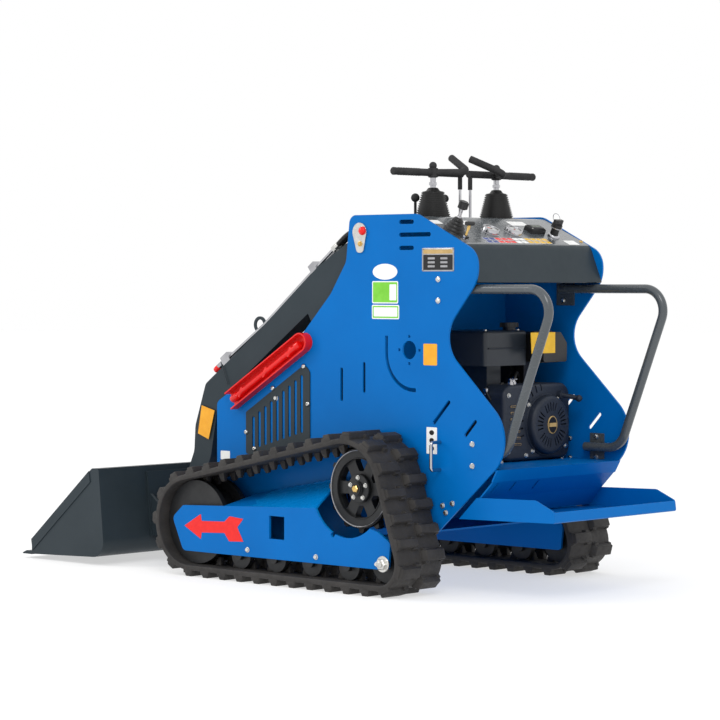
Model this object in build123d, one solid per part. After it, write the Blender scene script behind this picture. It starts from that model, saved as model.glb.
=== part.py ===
from build123d import *
import os
from math import acos, atan2, cos, degrees, hypot, pi, radians, sin

# Mini skid steer loader: a walk-behind tracked loader with a twin-arm boom and a bucket.
# Millimetres. X forward, Y left, Z up. The origin is on the ground, under the middle
# of the machine's length and width. It stands on its tracks with the arms down and
# the bucket carried just off the ground.

os.makedirs("parts", exist_ok=True)

# Driving dimensions of the chassis
PLATE_OUTER_Y = 276.0
PLATE_T = 6.0
PLATE_INNER_Y = PLATE_OUTER_Y - PLATE_T
DECK_Z = 1057.0
BELLY_Z = 170.0
SHEET_T = 5.0
BED_Z = 352.0
BED_REAR_X = -805.0
WALL_X = -375.0
FRONT_X = 297.0
TOWER_Y = 170.0
TOWER_T = 8.0
COWL_HALF = 150.0
TRAY_GAP = 7.0
DASH_TOP_X = -525.0
DASH_LOW = (-695.0, 968.0)
DASH_FOOT = (-737.0, 865.0)
CONSOLE_Z = DECK_Z - 9.0
DECK_TOP_Z = CONSOLE_Z + SHEET_T / 2
DASH_LEAN = degrees(atan2(CONSOLE_Z - DASH_LOW[1], DASH_TOP_X - DASH_LOW[0]))

# Driving dimensions of the tracks
TRACK_W = 180.0
TRACK_OUTER_Y = 463.0
TRACK_MID_Y = TRACK_OUTER_Y - TRACK_W / 2
LUG_H = 18.0
BELT_T = 16.0
BELT_Z = LUG_H + BELT_T
LUG_COUNT = 33
LUG_SHARE = 0.42
HORN_H = 24.0
HORN_W = 14.0
HORN_Y = 22.0
IDLER_R = 125.0
IDLER_X = 227.0
SPROCKET_R = 127.5
SPROCKET_X = -405.0
SPROCKET_Z = 290.0
REAR_IDLER_R = 62.0
REAR_IDLER_X = -540.0
ROLLER_R = 40.0
ROLLER_X = (-395.0, -250.0, -105.0, 40.0)
SEAT_GAP = 0.3
WHEEL_HALF = 50.0
FRAME_OUTER_Y = 443.0
FRAME_INNER_Y = 303.0
FRAME_T = 8.0
SPROCKET_GAP = 8.0
AXLE_R = 14.0

# Driving dimensions of the engine, which faces the rear
ENGINE_REAR_X = -640.0
ENGINE_RIGHT_Y = -249.0
ENGINE_LEFT_Y = 48.0
ENGINE_TOP_Z = 575.0
RECOIL_Y = -137.0
RECOIL_Z = 457.0
RECOIL_R = 84.0
TANK_REAR_X = -600.0
TANK_LOW_Z = 628.0
TANK_TOP_Z = 728.0

# Driving dimensions of the drive levers
LEVER_X = -452.0
LEVER_Y = 138.0
BOOT_H = 73.0
BOOT_R = 50.0
BOOT_TOP_R = 33.0
GRIP_Z = 1177.0
GRIP_R = 10.5
LEVER_TOP_Z = 1208.0

# Driving dimensions of the grab bars
BAR_R = 13.0
BAR_BEND = 62.0
BRACKET_T = 6.0

# Driving dimensions of the arms, the bucket and their cylinders
ARM_OUTER_Y = 250.0
ARM_W = 60.0
ARM_INNER_Y = ARM_OUTER_Y - ARM_W
ARM_MID_Y = ARM_OUTER_Y - ARM_W / 2
EAR_T = 8.0
EYE_R = 24.0
LIFT_X = -298.0
LIFT_Z = 1008.0
LIFT_PIN_R = 18.0
HINGE_X = 540.0
HINGE_Z = 120.0
HINGE_PIN_R = 16.0
PIN_GAP = 0.3
SIDE_GAP = 2.0
BUCKET_HALF = 460.0
BUCKET_T = 7.0
CHEEK_T = 8.0
EDGE_GAP = 0.5
QA_GAP = 0.3
LIFT_RANGE = 75.0
LIFT_BASE = (-330.0, 300.0)
LIFT_EYE = (-110.0, 762.0)
TILT_BASE = (340.0, 455.0)
TILT_EYE = (548.0, 225.0)
LIFT_BORE_R = 14.0
LIFT_TUBE_R = 30.0
LIFT_ROD_R = 15.0
TILT_TUBE_R = 22.0
TILT_ROD_R = 14.0


def block(x0, x1, y0, y1, z0, z1):
    return Pos((x0 + x1) / 2, (y0 + y1) / 2, (z0 + z1) / 2) * Box(x1 - x0, y1 - y0, z1 - z0)


def y_rod(x, z, radius, y0, y1):
    return Pos(x, (y0 + y1) / 2, z) * Rot(90, 0, 0) * Cylinder(radius, y1 - y0)


def x_rod(y, z, radius, x0, x1):
    return Pos((x0 + x1) / 2, y, z) * Rot(0, 90, 0) * Cylinder(radius, x1 - x0)


def rounded(rows):
    # rows of (x, z, corner radius) in the XZ plane
    face = make_face(Polyline(*[(x, z) for x, z, _ in rows], close=True))
    for x, z, radius in rows:
        if radius > 0:
            corner = face.vertices().sort_by_distance(Vector(x, z, 0))[0]
            face = fillet(corner, radius)
    return face


def prism(face, y0, y1):
    return Pos(0, y1, 0) * extrude(Plane.XZ * face, amount=y1 - y0)


def sheet(points, thickness, y0, y1):
    return prism(trace(Polyline(*points), line_width=thickness), y0, y1)


def bar(points, radius, bend):
    path = FilletPolyline(*points, radius=bend)
    return sweep(Plane(path @ 0, z_dir=path % 0) * Circle(radius), path=path)


def z_rod(x, y, radius, z0, z1):
    return Pos(x, y, (z0 + z1) / 2) * Cylinder(radius, z1 - z0)


def folded(points, bend, thickness, y0, y1):
    # bent plate that follows the points, with one inner radius at every fold
    return prism(trace(FilletPolyline(*points, radius=bend), line_width=thickness), y0, y1)


def rear_view(x, y, z):
    # plane facing the rear, whose own axes run to the right and up as seen from there
    return Plane(origin=(x, y, z), x_dir=(0, -1, 0), z_dir=(-1, 0, 0))


def other_side(solid):
    return mirror(solid, about=Plane.XZ)


# Side plates: the outline is seen from the left, as (x, z, corner radius)
SIDE_OUTLINE = (
    (-257.0, DECK_Z, 25.0),
    (-518.0, DECK_Z, 60.0),
    (-741.0, 948.0, 60.0),
    (-741.0, 872.0, 90.0),
    (-601.0, 705.0, 90.0),
    (-891.0, 432.0, 113.0),
    (-593.0, BELLY_Z, 20.0),
    (FRONT_X, BELLY_Z, 20.0),
    (FRONT_X, 506.0, 20.0),
    (-68.0, 718.0, 0.0),
    (-180.0, 832.0, 60.0),
    (-242.0, 924.0, 40.0),
)
# Slots as (x, z, length, width, angle from level)
SIDE_SLOTS = (
    (-476.0, 1035.0, 56.0, 12.0, 0.0),
    (-508.0, 999.0, 120.0, 12.0, 0.0),
    (-476.0, 962.0, 56.0, 12.0, 0.0),
    (-224.0, 573.0, 96.0, 10.0, 90.0),
    (-313.0, 595.0, 88.0, 10.0, 90.0),
    (-608.0, 505.0, 91.0, 11.0, -47.0),
    (-715.0, 465.0, 63.0, 11.0, -47.0),
)
# Curved slot: down from its top, round a quarter turn, then level towards the rear
CURVE_LINE = ((-400.0, 715.0), (-400.0, 564.0), (-512.0, 564.0))
CURVE_R = 104.0
CURVE_W = 11.0
PORT_X = -487.0
PORT_Z = 676.0
PORT_R = 26.0
PORT_BOLT_R = 38.0
PORT_BOLT_HOLE_R = 4.5


def slot_cut(x, z, length, width, angle):
    shape = Plane.XZ * (Pos(x, z) * Rot(0, 0, angle) * SlotOverall(length, width))
    return Pos(0, PLATE_OUTER_Y + 5, 0) * extrude(shape, amount=PLATE_T + 10)


def side_plate():
    plate = prism(rounded(SIDE_OUTLINE), PLATE_INNER_Y, PLATE_OUTER_Y)
    for row in SIDE_SLOTS:
        plate -= slot_cut(*row)
    curve = trace(FilletPolyline(*CURVE_LINE, radius=CURVE_R), line_width=CURVE_W)
    plate -= prism(curve, PLATE_INNER_Y - 5, PLATE_OUTER_Y + 5)
    plate -= y_rod(PORT_X, PORT_Z, PORT_R, PLATE_INNER_Y - 5, PLATE_OUTER_Y + 5)
    for turn in range(4):
        angle = radians(90 * turn)
        x = PORT_X + PORT_BOLT_R * cos(angle)
        z = PORT_Z + PORT_BOLT_R * sin(angle)
        plate -= y_rod(x, z, PORT_BOLT_HOLE_R, PLATE_INNER_Y - 5, PLATE_OUTER_Y + 5)
    plate -= y_rod(LIFT_X, LIFT_Z, LIFT_PIN_R + PIN_GAP, PLATE_INNER_Y - 5, PLATE_OUTER_Y + 5)
    return plate


# Chassis between the side plates
def belly_pan():
    pan = block(-575, FRONT_X - 12, -PLATE_INNER_Y, PLATE_INNER_Y, BELLY_Z, BELLY_Z + SHEET_T)
    front = block(FRONT_X - 17, FRONT_X - 12, -PLATE_INNER_Y, PLATE_INNER_Y, BELLY_Z, 495)
    return pan + front


def tower(side):
    # upright beside each arm that carries the inner ends of the arm and cylinder pins
    y0 = TOWER_Y
    plate = prism(rounded((
        (-362.0, 176.0, 0.0),
        (-362.0, 1050.0, 30.0),
        (-252.0, 1050.0, 30.0),
        (-252.0, 920.0, 40.0),
        (-290.0, 176.0, 0.0),
    )), y0, y0 + TOWER_T)
    plate -= y_rod(LIFT_X, LIFT_Z, LIFT_PIN_R + PIN_GAP, y0 - 5, y0 + TOWER_T + 5)
    return plate if side > 0 else other_side(plate)


WALL_TOP_Z = DECK_Z - 12.0


def bay_wall():
    return block(WALL_X, WALL_X + SHEET_T, -PLATE_INNER_Y, PLATE_INNER_Y, BELLY_Z + SHEET_T, WALL_TOP_Z)


BED_FOLD = (-788.0, 322.0)
APRON_HALF = PLATE_INNER_Y - 5.3
APRON_SLOT_Y = (241.0, 165.0, 67.0)


def engine_bed():
    bed = sheet(((WALL_X, BED_Z), (BED_REAR_X, BED_Z), BED_FOLD), SHEET_T, -PLATE_INNER_Y, PLATE_INNER_Y)
    apron = sheet(((BED_REAR_X + 2, BED_Z - 2), BED_FOLD, (-742, 276), (-700, 225)),
                  SHEET_T, -APRON_HALF, APRON_HALF)
    for y in APRON_SLOT_Y:
        apron -= block(BED_FOLD[0] - 8, BED_FOLD[0] + 30, y - 3, y + 3, 290, 316)
    return bed + apron


TRAY_HALF = PLATE_OUTER_Y - TRAY_GAP
TRAY_WALL = 4.0
TRAY_FLOOR_X = -1004.0
TRAY_FLOOR_Z = (216.0, 226.0)
# The tray's end walls as (x, z, corner radius)
TRAY_OUTLINE = (
    (-667.0, 213.0, 0.0),
    (-732.0, 275.0, 0.0),
    (-940.0, 280.0, 25.0),
    (-1005.0, 252.0, 10.0),
    (-1009.0, 221.0, 6.0),
)


def step_tray():
    tray = prism(rounded(TRAY_OUTLINE), -TRAY_HALF, TRAY_HALF)
    front, rear = -600.0, TRAY_FLOOR_X
    low, high = TRAY_FLOOR_Z
    inner = rounded(((front, low, 0), (front, 340, 0), (rear, 340, 0), (rear, high, 0)))
    tray -= prism(inner, -TRAY_HALF + TRAY_WALL, TRAY_HALF - TRAY_WALL)
    # two pressed ridges stiffen the rear lip
    for x in (rear + 14, rear + 30):
        tray += block(x - 2, x + 2, -TRAY_HALF + TRAY_WALL, TRAY_HALF - TRAY_WALL, high - 2, high + 3)
    return tray


COWL_TOP_Z = 1036.0
# The cowl between the arms as (x, z, corner radius), from its top rear corner forward and down
COWL_OUTLINE = (
    (WALL_X + SHEET_T, COWL_TOP_Z, 0.0),
    (-262.0, COWL_TOP_Z, 30.0),
    (-232.0, 918.0, 40.0),
    (-170.0, 822.0, 60.0),
    (-62.0, 708.0, 0.0),
    (FRONT_X - 18, 500.0, 20.0),
    (FRONT_X - 18, BELLY_Z + SHEET_T, 0.0),
    (WALL_X + SHEET_T, BELLY_Z + SHEET_T, 0.0),
)


def cowl():
    outer = rounded(COWL_OUTLINE)
    inner = prism(offset(outer, -SHEET_T), -COWL_HALF + SHEET_T, COWL_HALF - SHEET_T)
    return prism(outer, -COWL_HALF, COWL_HALF) - inner


def console():
    points = ((WALL_X, CONSOLE_Z), (DASH_TOP_X, CONSOLE_Z), DASH_LOW, DASH_FOOT)
    return folded(points, 32, SHEET_T, -PLATE_INNER_Y, PLATE_INNER_Y)


def on_dash(x, y, solid):
    # seats a solid, drawn standing on Z = 0, on the sloping dash
    z = CONSOLE_Z + (x - DASH_TOP_X) * (CONSOLE_Z - DASH_LOW[1]) / (DASH_TOP_X - DASH_LOW[0])
    lift = SHEET_T / 2 / cos(radians(DASH_LEAN))
    return Pos(x, y, z + lift) * Rot(0, -DASH_LEAN, 0) * solid


def standing(radius, z0, z1):
    return Pos(0, 0, (z0 + z1) / 2) * Cylinder(radius, z1 - z0)


GAUGE_R = 25.0
GAUGE_H = 15.0


def gauge():
    body = standing(GAUGE_R, 0, GAUGE_H)
    body = chamfer(body.edges().group_by(Axis.Z)[-1], 3)
    return body - standing(GAUGE_R - 5, GAUGE_H - 3, GAUGE_H + 1)


def joystick():
    # soft cone, bright stem and lobed knob
    boot = Pos(0, 0, 20) * Cone(32, 11, 40)
    stem = standing(4, 38, 72)
    knob = standing(11, 68, 90)
    for k in range(5):
        knob += Rot(0, 0, 72 * k) * Pos(10, 0, 0) * standing(5, 70, 88)
    return boot + stem + knob


def throttle():
    foot = Pos(0, 0, 6) * Box(18, 12, 12)
    stem = standing(3, 12, 44)
    knob = Pos(0, 0, 48) * Rot(90, 0, 0) * Cylinder(6, 30)
    return foot + stem + knob


def hour_meter():
    body = Pos(0, 0, 8) * Box(34, 58, 16)
    return chamfer(body.edges().group_by(Axis.Z)[-1], 4)


def key_switch():
    # collar, barrel and the folded wings of its knob
    body = standing(17, 0, 5) + standing(12, 5, 26) + standing(16, 26, 38)
    return body + Pos(0, 0, 44) * Box(9, 34, 16)


# Console controls: what stands on the dash, as (form, x, y)
CONTROLS = (
    (joystick, -617.0, 234.0),
    (throttle, -667.0, 248.0),
    (gauge, -621.0, 88.0),
    (gauge, -622.0, -12.0),
    (hour_meter, -610.0, -121.0),
    (key_switch, -638.0, -172.0),
)


def console_controls():
    return [on_dash(x, y, form()) for form, x, y in CONTROLS]


BOOT_RIBS = 12


def lever_boot(side):
    # bellows: each rib is a full ring above a narrower one, tapering upwards
    pitch = BOOT_H / BOOT_RIBS
    profile = [(0.0, 0.0)]
    for k in range(BOOT_RIBS):
        wide = BOOT_R + (BOOT_TOP_R - BOOT_R) * k / (BOOT_RIBS - 1)
        profile.append((wide, k * pitch))
        profile.append((wide, (k + 0.55) * pitch))
        profile.append((wide - 4, (k + 0.55) * pitch))
        profile.append((wide - 4, (k + 1) * pitch))
    profile.append((0.0, BOOT_H))
    face = make_face(Plane.XZ * Polyline(*profile, close=True))
    return Pos(LEVER_X, side * LEVER_Y, DECK_TOP_Z) * revolve(face, Axis.Z)


POST_R = 4.0
POST_Y = 22.0
SLEEVE_H = 45.0
KNOB_X = -395.0
KNOB_Y = (150.0, 25.0)
KNOB_Z = 1107.0


def drive_lever(side):
    # stem, cross bar, hooked grip and the sleeve at the bar's inner end
    y = side * LEVER_Y
    stem = z_rod(LEVER_X, y, 8, DECK_TOP_Z + BOOT_H, LEVER_TOP_Z - 11)
    stem += Pos(LEVER_X, y, LEVER_TOP_Z - 11) * Sphere(11)
    outer, inner = y + side * 167, side * (POST_Y - 7)
    cross = y_rod(LEVER_X, GRIP_Z, GRIP_R, min(outer, inner), max(outer, inner))
    grip = bar(((LEVER_X, y, GRIP_Z), (LEVER_X - 83, y - side * 60, GRIP_Z),
                (LEVER_X + 16, y - side * 97, GRIP_Z + 45)), GRIP_R, 16)
    sleeve = z_rod(LEVER_X, side * POST_Y, POST_R + 2.5, GRIP_Z - SLEEVE_H, GRIP_Z)
    return stem + cross + grip + sleeve


def ball_knob(y):
    return z_rod(KNOB_X, y, 4, DECK_TOP_Z, KNOB_Z) + Pos(KNOB_X, y, KNOB_Z) * Sphere(12.5)


def drive_levers():
    return [drive_lever(1), drive_lever(-1)] + [ball_knob(y) for y in KNOB_Y]


def lever_posts():
    return [z_rod(LEVER_X, side * POST_Y, POST_R, DECK_TOP_Z, GRIP_Z - SLEEVE_H) for side in (1, -1)]


# Engine, open to the rear
BLOCK_REAR_X = -565.0
BLOCK_FRONT_X = -420.0


def engine_block():
    return block(BLOCK_REAR_X, BLOCK_FRONT_X, -215, 25, BED_Z + SHEET_T / 2, ENGINE_TOP_Z - 15)


HOUSING_SLOTS = 9


def engine_shroud():
    # blower housing: a deep rounded box with a fan of cooling slots beside the starter
    low = BED_Z + SHEET_T / 2 + 4
    body = block(ENGINE_REAR_X, BLOCK_REAR_X, ENGINE_RIGHT_Y, ENGINE_LEFT_Y, low, ENGINE_TOP_Z)
    body = fillet(body.edges().filter_by(Axis.X).group_by(Axis.Z)[-1], 40)
    body = fillet(body.edges().filter_by(Axis.X).group_by(Axis.Z)[0], 30)
    body = fillet(body.edges().group_by(Axis.X)[0], 10)
    view = rear_view(ENGINE_REAR_X - 1, RECOIL_Y, RECOIL_Z)
    for k in range(HOUSING_SLOTS):
        slot = Rot(0, 0, 100 + 12 * k) * Pos(RECOIL_R + 26, 0) * SlotOverall(24, 5)
        body -= extrude(view * slot, amount=-7)
    return body


RECOIL_T = 25.0
RECOIL_SLOTS = 30
EMBLEM_R = 22.0


def recoil_cover():
    # pressed starter cover: domed rim, radial slots in five fans, bare oval badge seat
    view = rear_view(ENGINE_REAR_X, RECOIL_Y, RECOIL_Z)
    cover = extrude(view * Circle(RECOIL_R), amount=RECOIL_T)
    cover = fillet(cover.edges().group_by(Axis.X)[0], 12)
    face = rear_view(ENGINE_REAR_X - RECOIL_T, RECOIL_Y, RECOIL_Z)
    for k in range(RECOIL_SLOTS):
        if k % 6 == 5:
            continue
        slot = Rot(0, 0, 360 / RECOIL_SLOTS * k) * Pos(RECOIL_R * 0.62, 0) * SlotOverall(26, 4)
        cover -= extrude(face * slot, amount=-9)
    cover += extrude(face * Ellipse(EMBLEM_R * 0.8, EMBLEM_R), amount=2)
    # the pull grip rests in its nose at the upper right
    x, y, z = ENGINE_REAR_X, RECOIL_Y - 63, RECOIL_Z + 84
    nose = x_rod(y, z, 12, x - 12, x)
    grip = Cylinder(7, 54, align=(Align.CENTER, Align.CENTER, Align.MIN)) + Pos(0, 0, 54) * Sphere(10)
    return [cover, nose + Plane((x - 7, y, z), z_dir=(-1.0, -0.4, -0.2)) * grip]


# Fuel tank seen from above, as (x, y): rear left, rear right, bevel, front right, front left
TANK_OUTLINE = (
    (TANK_REAR_X, 83.0),
    (TANK_REAR_X, -99.0),
    (TANK_REAR_X + 38, -124.0),
    (BLOCK_FRONT_X + 15, -124.0),
    (BLOCK_FRONT_X + 15, 83.0),
)
CAP_R = 26.0


def fuel_tank():
    base = make_face(Polyline(*TANK_OUTLINE, close=True))
    tank = Pos(0, 0, TANK_LOW_Z) * extrude(base, amount=TANK_TOP_Z - TANK_LOW_Z)
    tank = fillet(tank.edges().filter_by(Axis.Z), 12)
    tank = fillet(tank.edges().group_by(Axis.Z)[-1], 9)
    foot = block(BLOCK_REAR_X + 12, BLOCK_FRONT_X - 20, -40, 20, ENGINE_TOP_Z - 15, TANK_LOW_Z)
    x, y = TANK_REAR_X + 54, -86.0
    neck = z_rod(x, y, CAP_R - 7, TANK_TOP_Z, TANK_TOP_Z + 8)
    cap = z_rod(x, y, CAP_R, TANK_TOP_Z + 8, TANK_TOP_Z + 22)
    return tank + foot + neck + cap


# Air cleaner seen from the rear, as (to the right of the middle plane, z)
CLEANER_OUTLINE = (
    (128.0, 636.0),
    (128.0, 722.0),
    (206.0, 722.0),
    (234.0, 690.0),
    (234.0, 636.0),
)


def air_cleaner():
    view = rear_view(-520, 0, 0)
    body = extrude(view * make_face(Polyline(*CLEANER_OUTLINE, close=True)), amount=120)
    body = fillet(body.edges().filter_by(Axis.X), 8)
    rim = offset(make_face(Polyline(*CLEANER_OUTLINE, close=True)), 3)
    band = extrude(rear_view(-600, 0, 0) * rim, amount=5)
    foot = block(BLOCK_REAR_X + 9, BLOCK_REAR_X + 41, -190, -140, ENGINE_TOP_Z - 15, 636)
    return body + band + foot


def muffler():
    # ribbed silencer box behind the air cleaner, on its stub
    box = block(-510, WALL_X - 15, -222, -135, 590, 700)
    box = fillet(box.edges().filter_by(Axis.Y), 16)
    for k in range(4):
        box += block(-490 + 26 * k, -484 + 26 * k, -226, -222, 606, 684)
    return box + block(-480, -440, -180, -150, ENGINE_TOP_Z - 15, 592)


# Grab bars at the operator's station
BAR_Y = PLATE_INNER_Y - BRACKET_T - BAR_R + 1.5
# The bar's centre line as (x, z)
BAR_LINE = ((-600.0, 847.0), (-1001.0, 847.0), (-822.0, 392.0), (-694.0, 391.0))


def grab_bar():
    tube = bar([(x, BAR_Y, z) for x, z in BAR_LINE], BAR_R, BAR_BEND)
    y0 = PLATE_INNER_Y - BRACKET_T
    upper = block(-640, -576, y0, PLATE_INNER_Y, 798, 884)
    lower = block(-751, -702, y0, PLATE_INNER_Y, BED_Z + 4, 430)
    return tube + upper + lower


# Track loop: wheel table of (x, z, radius) in the order front, top rear, bottom rear
LOOP = (
    (IDLER_X, BELT_Z + IDLER_R, IDLER_R),
    (SPROCKET_X, SPROCKET_Z, SPROCKET_R),
    (REAR_IDLER_X, BELT_Z + REAR_IDLER_R, REAR_IDLER_R),
)


def loop_runs():
    # each wheel's arc and the straight run that leaves it, as start angle, sweep and run
    normals = []
    for k in range(3):
        x1, z1, r1 = LOOP[k]
        x2, z2, r2 = LOOP[(k + 1) % 3]
        away = hypot(x2 - x1, z2 - z1)
        along = atan2(z2 - z1, x2 - x1)
        normals.append((along - acos((r1 - r2) / away), (away ** 2 - (r1 - r2) ** 2) ** 0.5))
    runs = []
    for k in range(3):
        start = normals[k - 1][0]
        turn = (normals[k][0] - start) % (2 * pi)
        runs.append((start, turn, normals[k][1]))
    return runs


RUNS = loop_runs()
BELT_LENGTH = sum((LOOP[k][2] + BELT_T / 2) * RUNS[k][1] + RUNS[k][2] for k in range(3))
LUG_PITCH = BELT_LENGTH / LUG_COUNT


def belt_point(s, out):
    # point at arc length s along the belt's middle, moved out from its inner face
    s = s % BELT_LENGTH
    for k in range(3):
        x, z, r = LOOP[k]
        start, turn, run = RUNS[k]
        arc = (r + BELT_T / 2) * turn
        if s <= arc:
            a = start + s / (r + BELT_T / 2)
            return (x + (r + out) * cos(a), z + (r + out) * sin(a))
        s -= arc
        if s <= run:
            a = start + turn
            return (x + (r + out) * cos(a) - s * sin(a), z + (r + out) * sin(a) + s * cos(a))
        s -= run
    return belt_point(0.0, out)


def belt_half(shift, y0, y1):
    outer = []
    for k in range(LUG_COUNT):
        s = (k + shift) * LUG_PITCH
        w = LUG_SHARE * LUG_PITCH
        outer.append(belt_point(s - w / 2, BELT_T))
        outer.append(belt_point(s - w * 0.36, BELT_T + LUG_H))
        outer.append(belt_point(s + w * 0.36, BELT_T + LUG_H))
        outer.append(belt_point(s + w / 2, BELT_T))
    inner = [belt_point(k * LUG_PITCH / 2, 0.0) for k in range(2 * LUG_COUNT)]
    face = make_face(Polyline(*outer, close=True)) - make_face(Polyline(*inner, close=True))
    return prism(face, y0, y1)


def horn(k, y):
    s = k * LUG_PITCH
    a = belt_point(s - 10, -0.0)
    b = belt_point(s + 10, -0.0)
    c = belt_point(s + 6, -HORN_H)
    d = belt_point(s - 6, -HORN_H)
    root_a = belt_point(s - 10, BELT_T / 2)
    root_b = belt_point(s + 10, BELT_T / 2)
    face = make_face(Polyline(root_a, root_b, b, c, d, a, close=True))
    return prism(face, y - HORN_W / 2, y + HORN_W / 2)


def track():
    belt = belt_half(0.0, TRACK_MID_Y, TRACK_OUTER_Y) + belt_half(0.5, TRACK_OUTER_Y - TRACK_W, TRACK_MID_Y)
    horns = [horn(k, TRACK_MID_Y + side * HORN_Y) for k in range(LUG_COUNT) for side in (-1, 1)]
    return belt.fuse(*horns)


def wheel(x, z, radius, groove):
    # roller or idler on its axle: rims each side of the groove that the horns run in
    half = WHEEL_HALF
    disc = y_rod(x, z, radius, TRACK_MID_Y - half, TRACK_MID_Y + half)
    gap = HORN_Y + HORN_W / 2 + 4
    ring = y_rod(x, z, radius + 5, TRACK_MID_Y - gap, TRACK_MID_Y + gap)
    ring -= y_rod(x, z, radius - groove, TRACK_MID_Y - gap - 1, TRACK_MID_Y + gap + 1)
    disc -= ring
    axle = y_rod(x, z, AXLE_R, FRAME_INNER_Y + FRAME_T, FRAME_OUTER_Y - FRAME_T)
    return disc + axle


def idlers():
    wheels = [
        wheel(IDLER_X, BELT_Z + IDLER_R, IDLER_R - 2.0, HORN_H + 4),
        wheel(REAR_IDLER_X, BELT_Z + REAR_IDLER_R, REAR_IDLER_R - 3.5, HORN_H + 4),
    ]
    for x in ROLLER_X:
        wheels.append(wheel(x, BELT_Z + ROLLER_R, ROLLER_R - SEAT_GAP, HORN_H + 2))
    return wheels


SPROCKET_TEETH = 12
SPROCKET_T = 22.0
RIM_INNER_R = 82.0
HUB_R = 40.0


def sprocket():
    tip = SPROCKET_R - 2.0
    face = Circle(104)
    tooth = Polygon((96, -15), (tip - 6, -9), (tip, -5), (tip, 5), (tip - 6, 9), (96, 15), align=None)
    for k in range(SPROCKET_TEETH):
        face += Rot(0, 0, 360 / SPROCKET_TEETH * k) * tooth
    # six spokes are left between wedge windows
    wedge = ((HUB_R + 8, -8), (RIM_INNER_R, -27), (RIM_INNER_R, 27), (HUB_R + 8, 8))
    window = make_face(Polyline(*wedge, close=True))
    window = fillet(window.vertices(), 6)
    for k in range(6):
        face -= Rot(0, 0, 60 * k + 30) * window
    disc = extrude(Plane.XZ * face, amount=SPROCKET_T)
    disc = Pos(SPROCKET_X, TRACK_MID_Y + SPROCKET_T / 2, SPROCKET_Z) * disc
    hub = y_rod(SPROCKET_X, SPROCKET_Z, HUB_R, TRACK_MID_Y - 14, TRACK_MID_Y + 22)
    rim = y_rod(SPROCKET_X, SPROCKET_Z, RIM_INNER_R + 9, TRACK_MID_Y + SPROCKET_T / 2, TRACK_MID_Y + 19)
    rim -= y_rod(SPROCKET_X, SPROCKET_Z, RIM_INNER_R + 3, TRACK_MID_Y, TRACK_MID_Y + 25)
    return disc + hub + rim + y_rod(SPROCKET_X, SPROCKET_Z, 17, TRACK_MID_Y + 22, TRACK_MID_Y + 34)


def drive_motor():
    body = y_rod(SPROCKET_X, SPROCKET_Z, 58, PLATE_OUTER_Y, TRACK_MID_Y - 30)
    nose = y_rod(SPROCKET_X, SPROCKET_Z, 30, TRACK_MID_Y - 30, TRACK_MID_Y - 14)
    return body + nose


# Track frame's outline from the left, as (x, z, corner radius)
FRAME_OUTLINE = (
    (313.0, 169.0, 18.0),
    (267.0, 207.0, 12.0),
    (-290.0, 231.0, 0.0),
    (-520.0, 180.0, 0.0),
    (-570.0, 152.0, 12.0),
    (-562.0, 76.0, 12.0),
    (267.0, 73.0, 20.0),
)
FACET_FRONT_X = 92.0
FACET_REAR_X = -285.0
FACET_T = 6.0
FACET_RISE = (30.0, 84.0)
FRAME_WINDOW = (-158.0, -97.0, 132.0, 198.0)
BRACE_X = (100.0, -230.0)


def fold_z(x):
    # height of the outer plate's top fold at x
    x1, z1, _ = FRAME_OUTLINE[1]
    x2, z2, _ = FRAME_OUTLINE[2]
    return z1 + (x - x1) * (z2 - z1) / (x2 - x1)


def facet_section(x, rise):
    low = fold_z(x) - FACET_T
    points = ((x, FRAME_OUTER_Y, low), (x, FRAME_OUTER_Y, low + FACET_T),
              (x, FRAME_INNER_Y, low + FACET_T + rise), (x, FRAME_INNER_Y, low + rise))
    return make_face(Polyline(*points, close=True))


def track_frame():
    side = rounded(FRAME_OUTLINE)
    outer = prism(side, FRAME_OUTER_Y - FRAME_T, FRAME_OUTER_Y)
    inner = prism(side, FRAME_INNER_Y, FRAME_INNER_Y + FRAME_T)
    # sloping mud shield from the outer fold up to the inner side
    ends = zip((FACET_FRONT_X, FACET_REAR_X), FACET_RISE)
    facet = loft([facet_section(x, rise) for x, rise in ends], ruled=True)
    x0, x1 = FACET_REAR_X, FACET_FRONT_X
    web = ((x0, fold_z(x0) - 20), (x1, fold_z(x1) - 20), (x1, fold_z(x1) + FACET_RISE[0] - 2),
           (x0, fold_z(x0) + FACET_RISE[1] - 2))
    web = make_face(Polyline(*web, close=True))
    frame = outer + inner + facet + prism(web, FRAME_INNER_Y, FRAME_INNER_Y + FRAME_T)
    frame -= y_rod(SPROCKET_X, SPROCKET_Z, SPROCKET_R + SPROCKET_GAP, FRAME_INNER_Y - 5, FRAME_OUTER_Y + 5)
    wx0, wx1, wz0, wz1 = FRAME_WINDOW
    frame -= block(wx0, wx1, FRAME_OUTER_Y - FRAME_T - 2, FRAME_OUTER_Y + 5, wz0, wz1)
    hole = Plane.XZ * (Pos(-356, 168) * Rot(0, 0, -55) * SlotOverall(34, 14))
    frame -= Pos(0, FRAME_OUTER_Y + 5, 0) * extrude(hole, amount=FRAME_T + 10)
    for x in BRACE_X:
        frame += block(x - 60, x + 60, PLATE_OUTER_Y, FRAME_INNER_Y, 176, 226)
    return frame


GRILLE_T = 3.0
GRILLE_SLOTS = 9
GRILLE_PITCH = 25.2
# Grille panel from the left, as (x, z, corner radius)
GRILLE_OUTLINE = (
    (169.0, 480.0, 0.0),
    (-78.0, 628.0, 22.0),
    (-98.0, 605.0, 20.0),
    (-98.0, 355.0, 10.0),
    (169.0, 355.0, 10.0),
)


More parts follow.
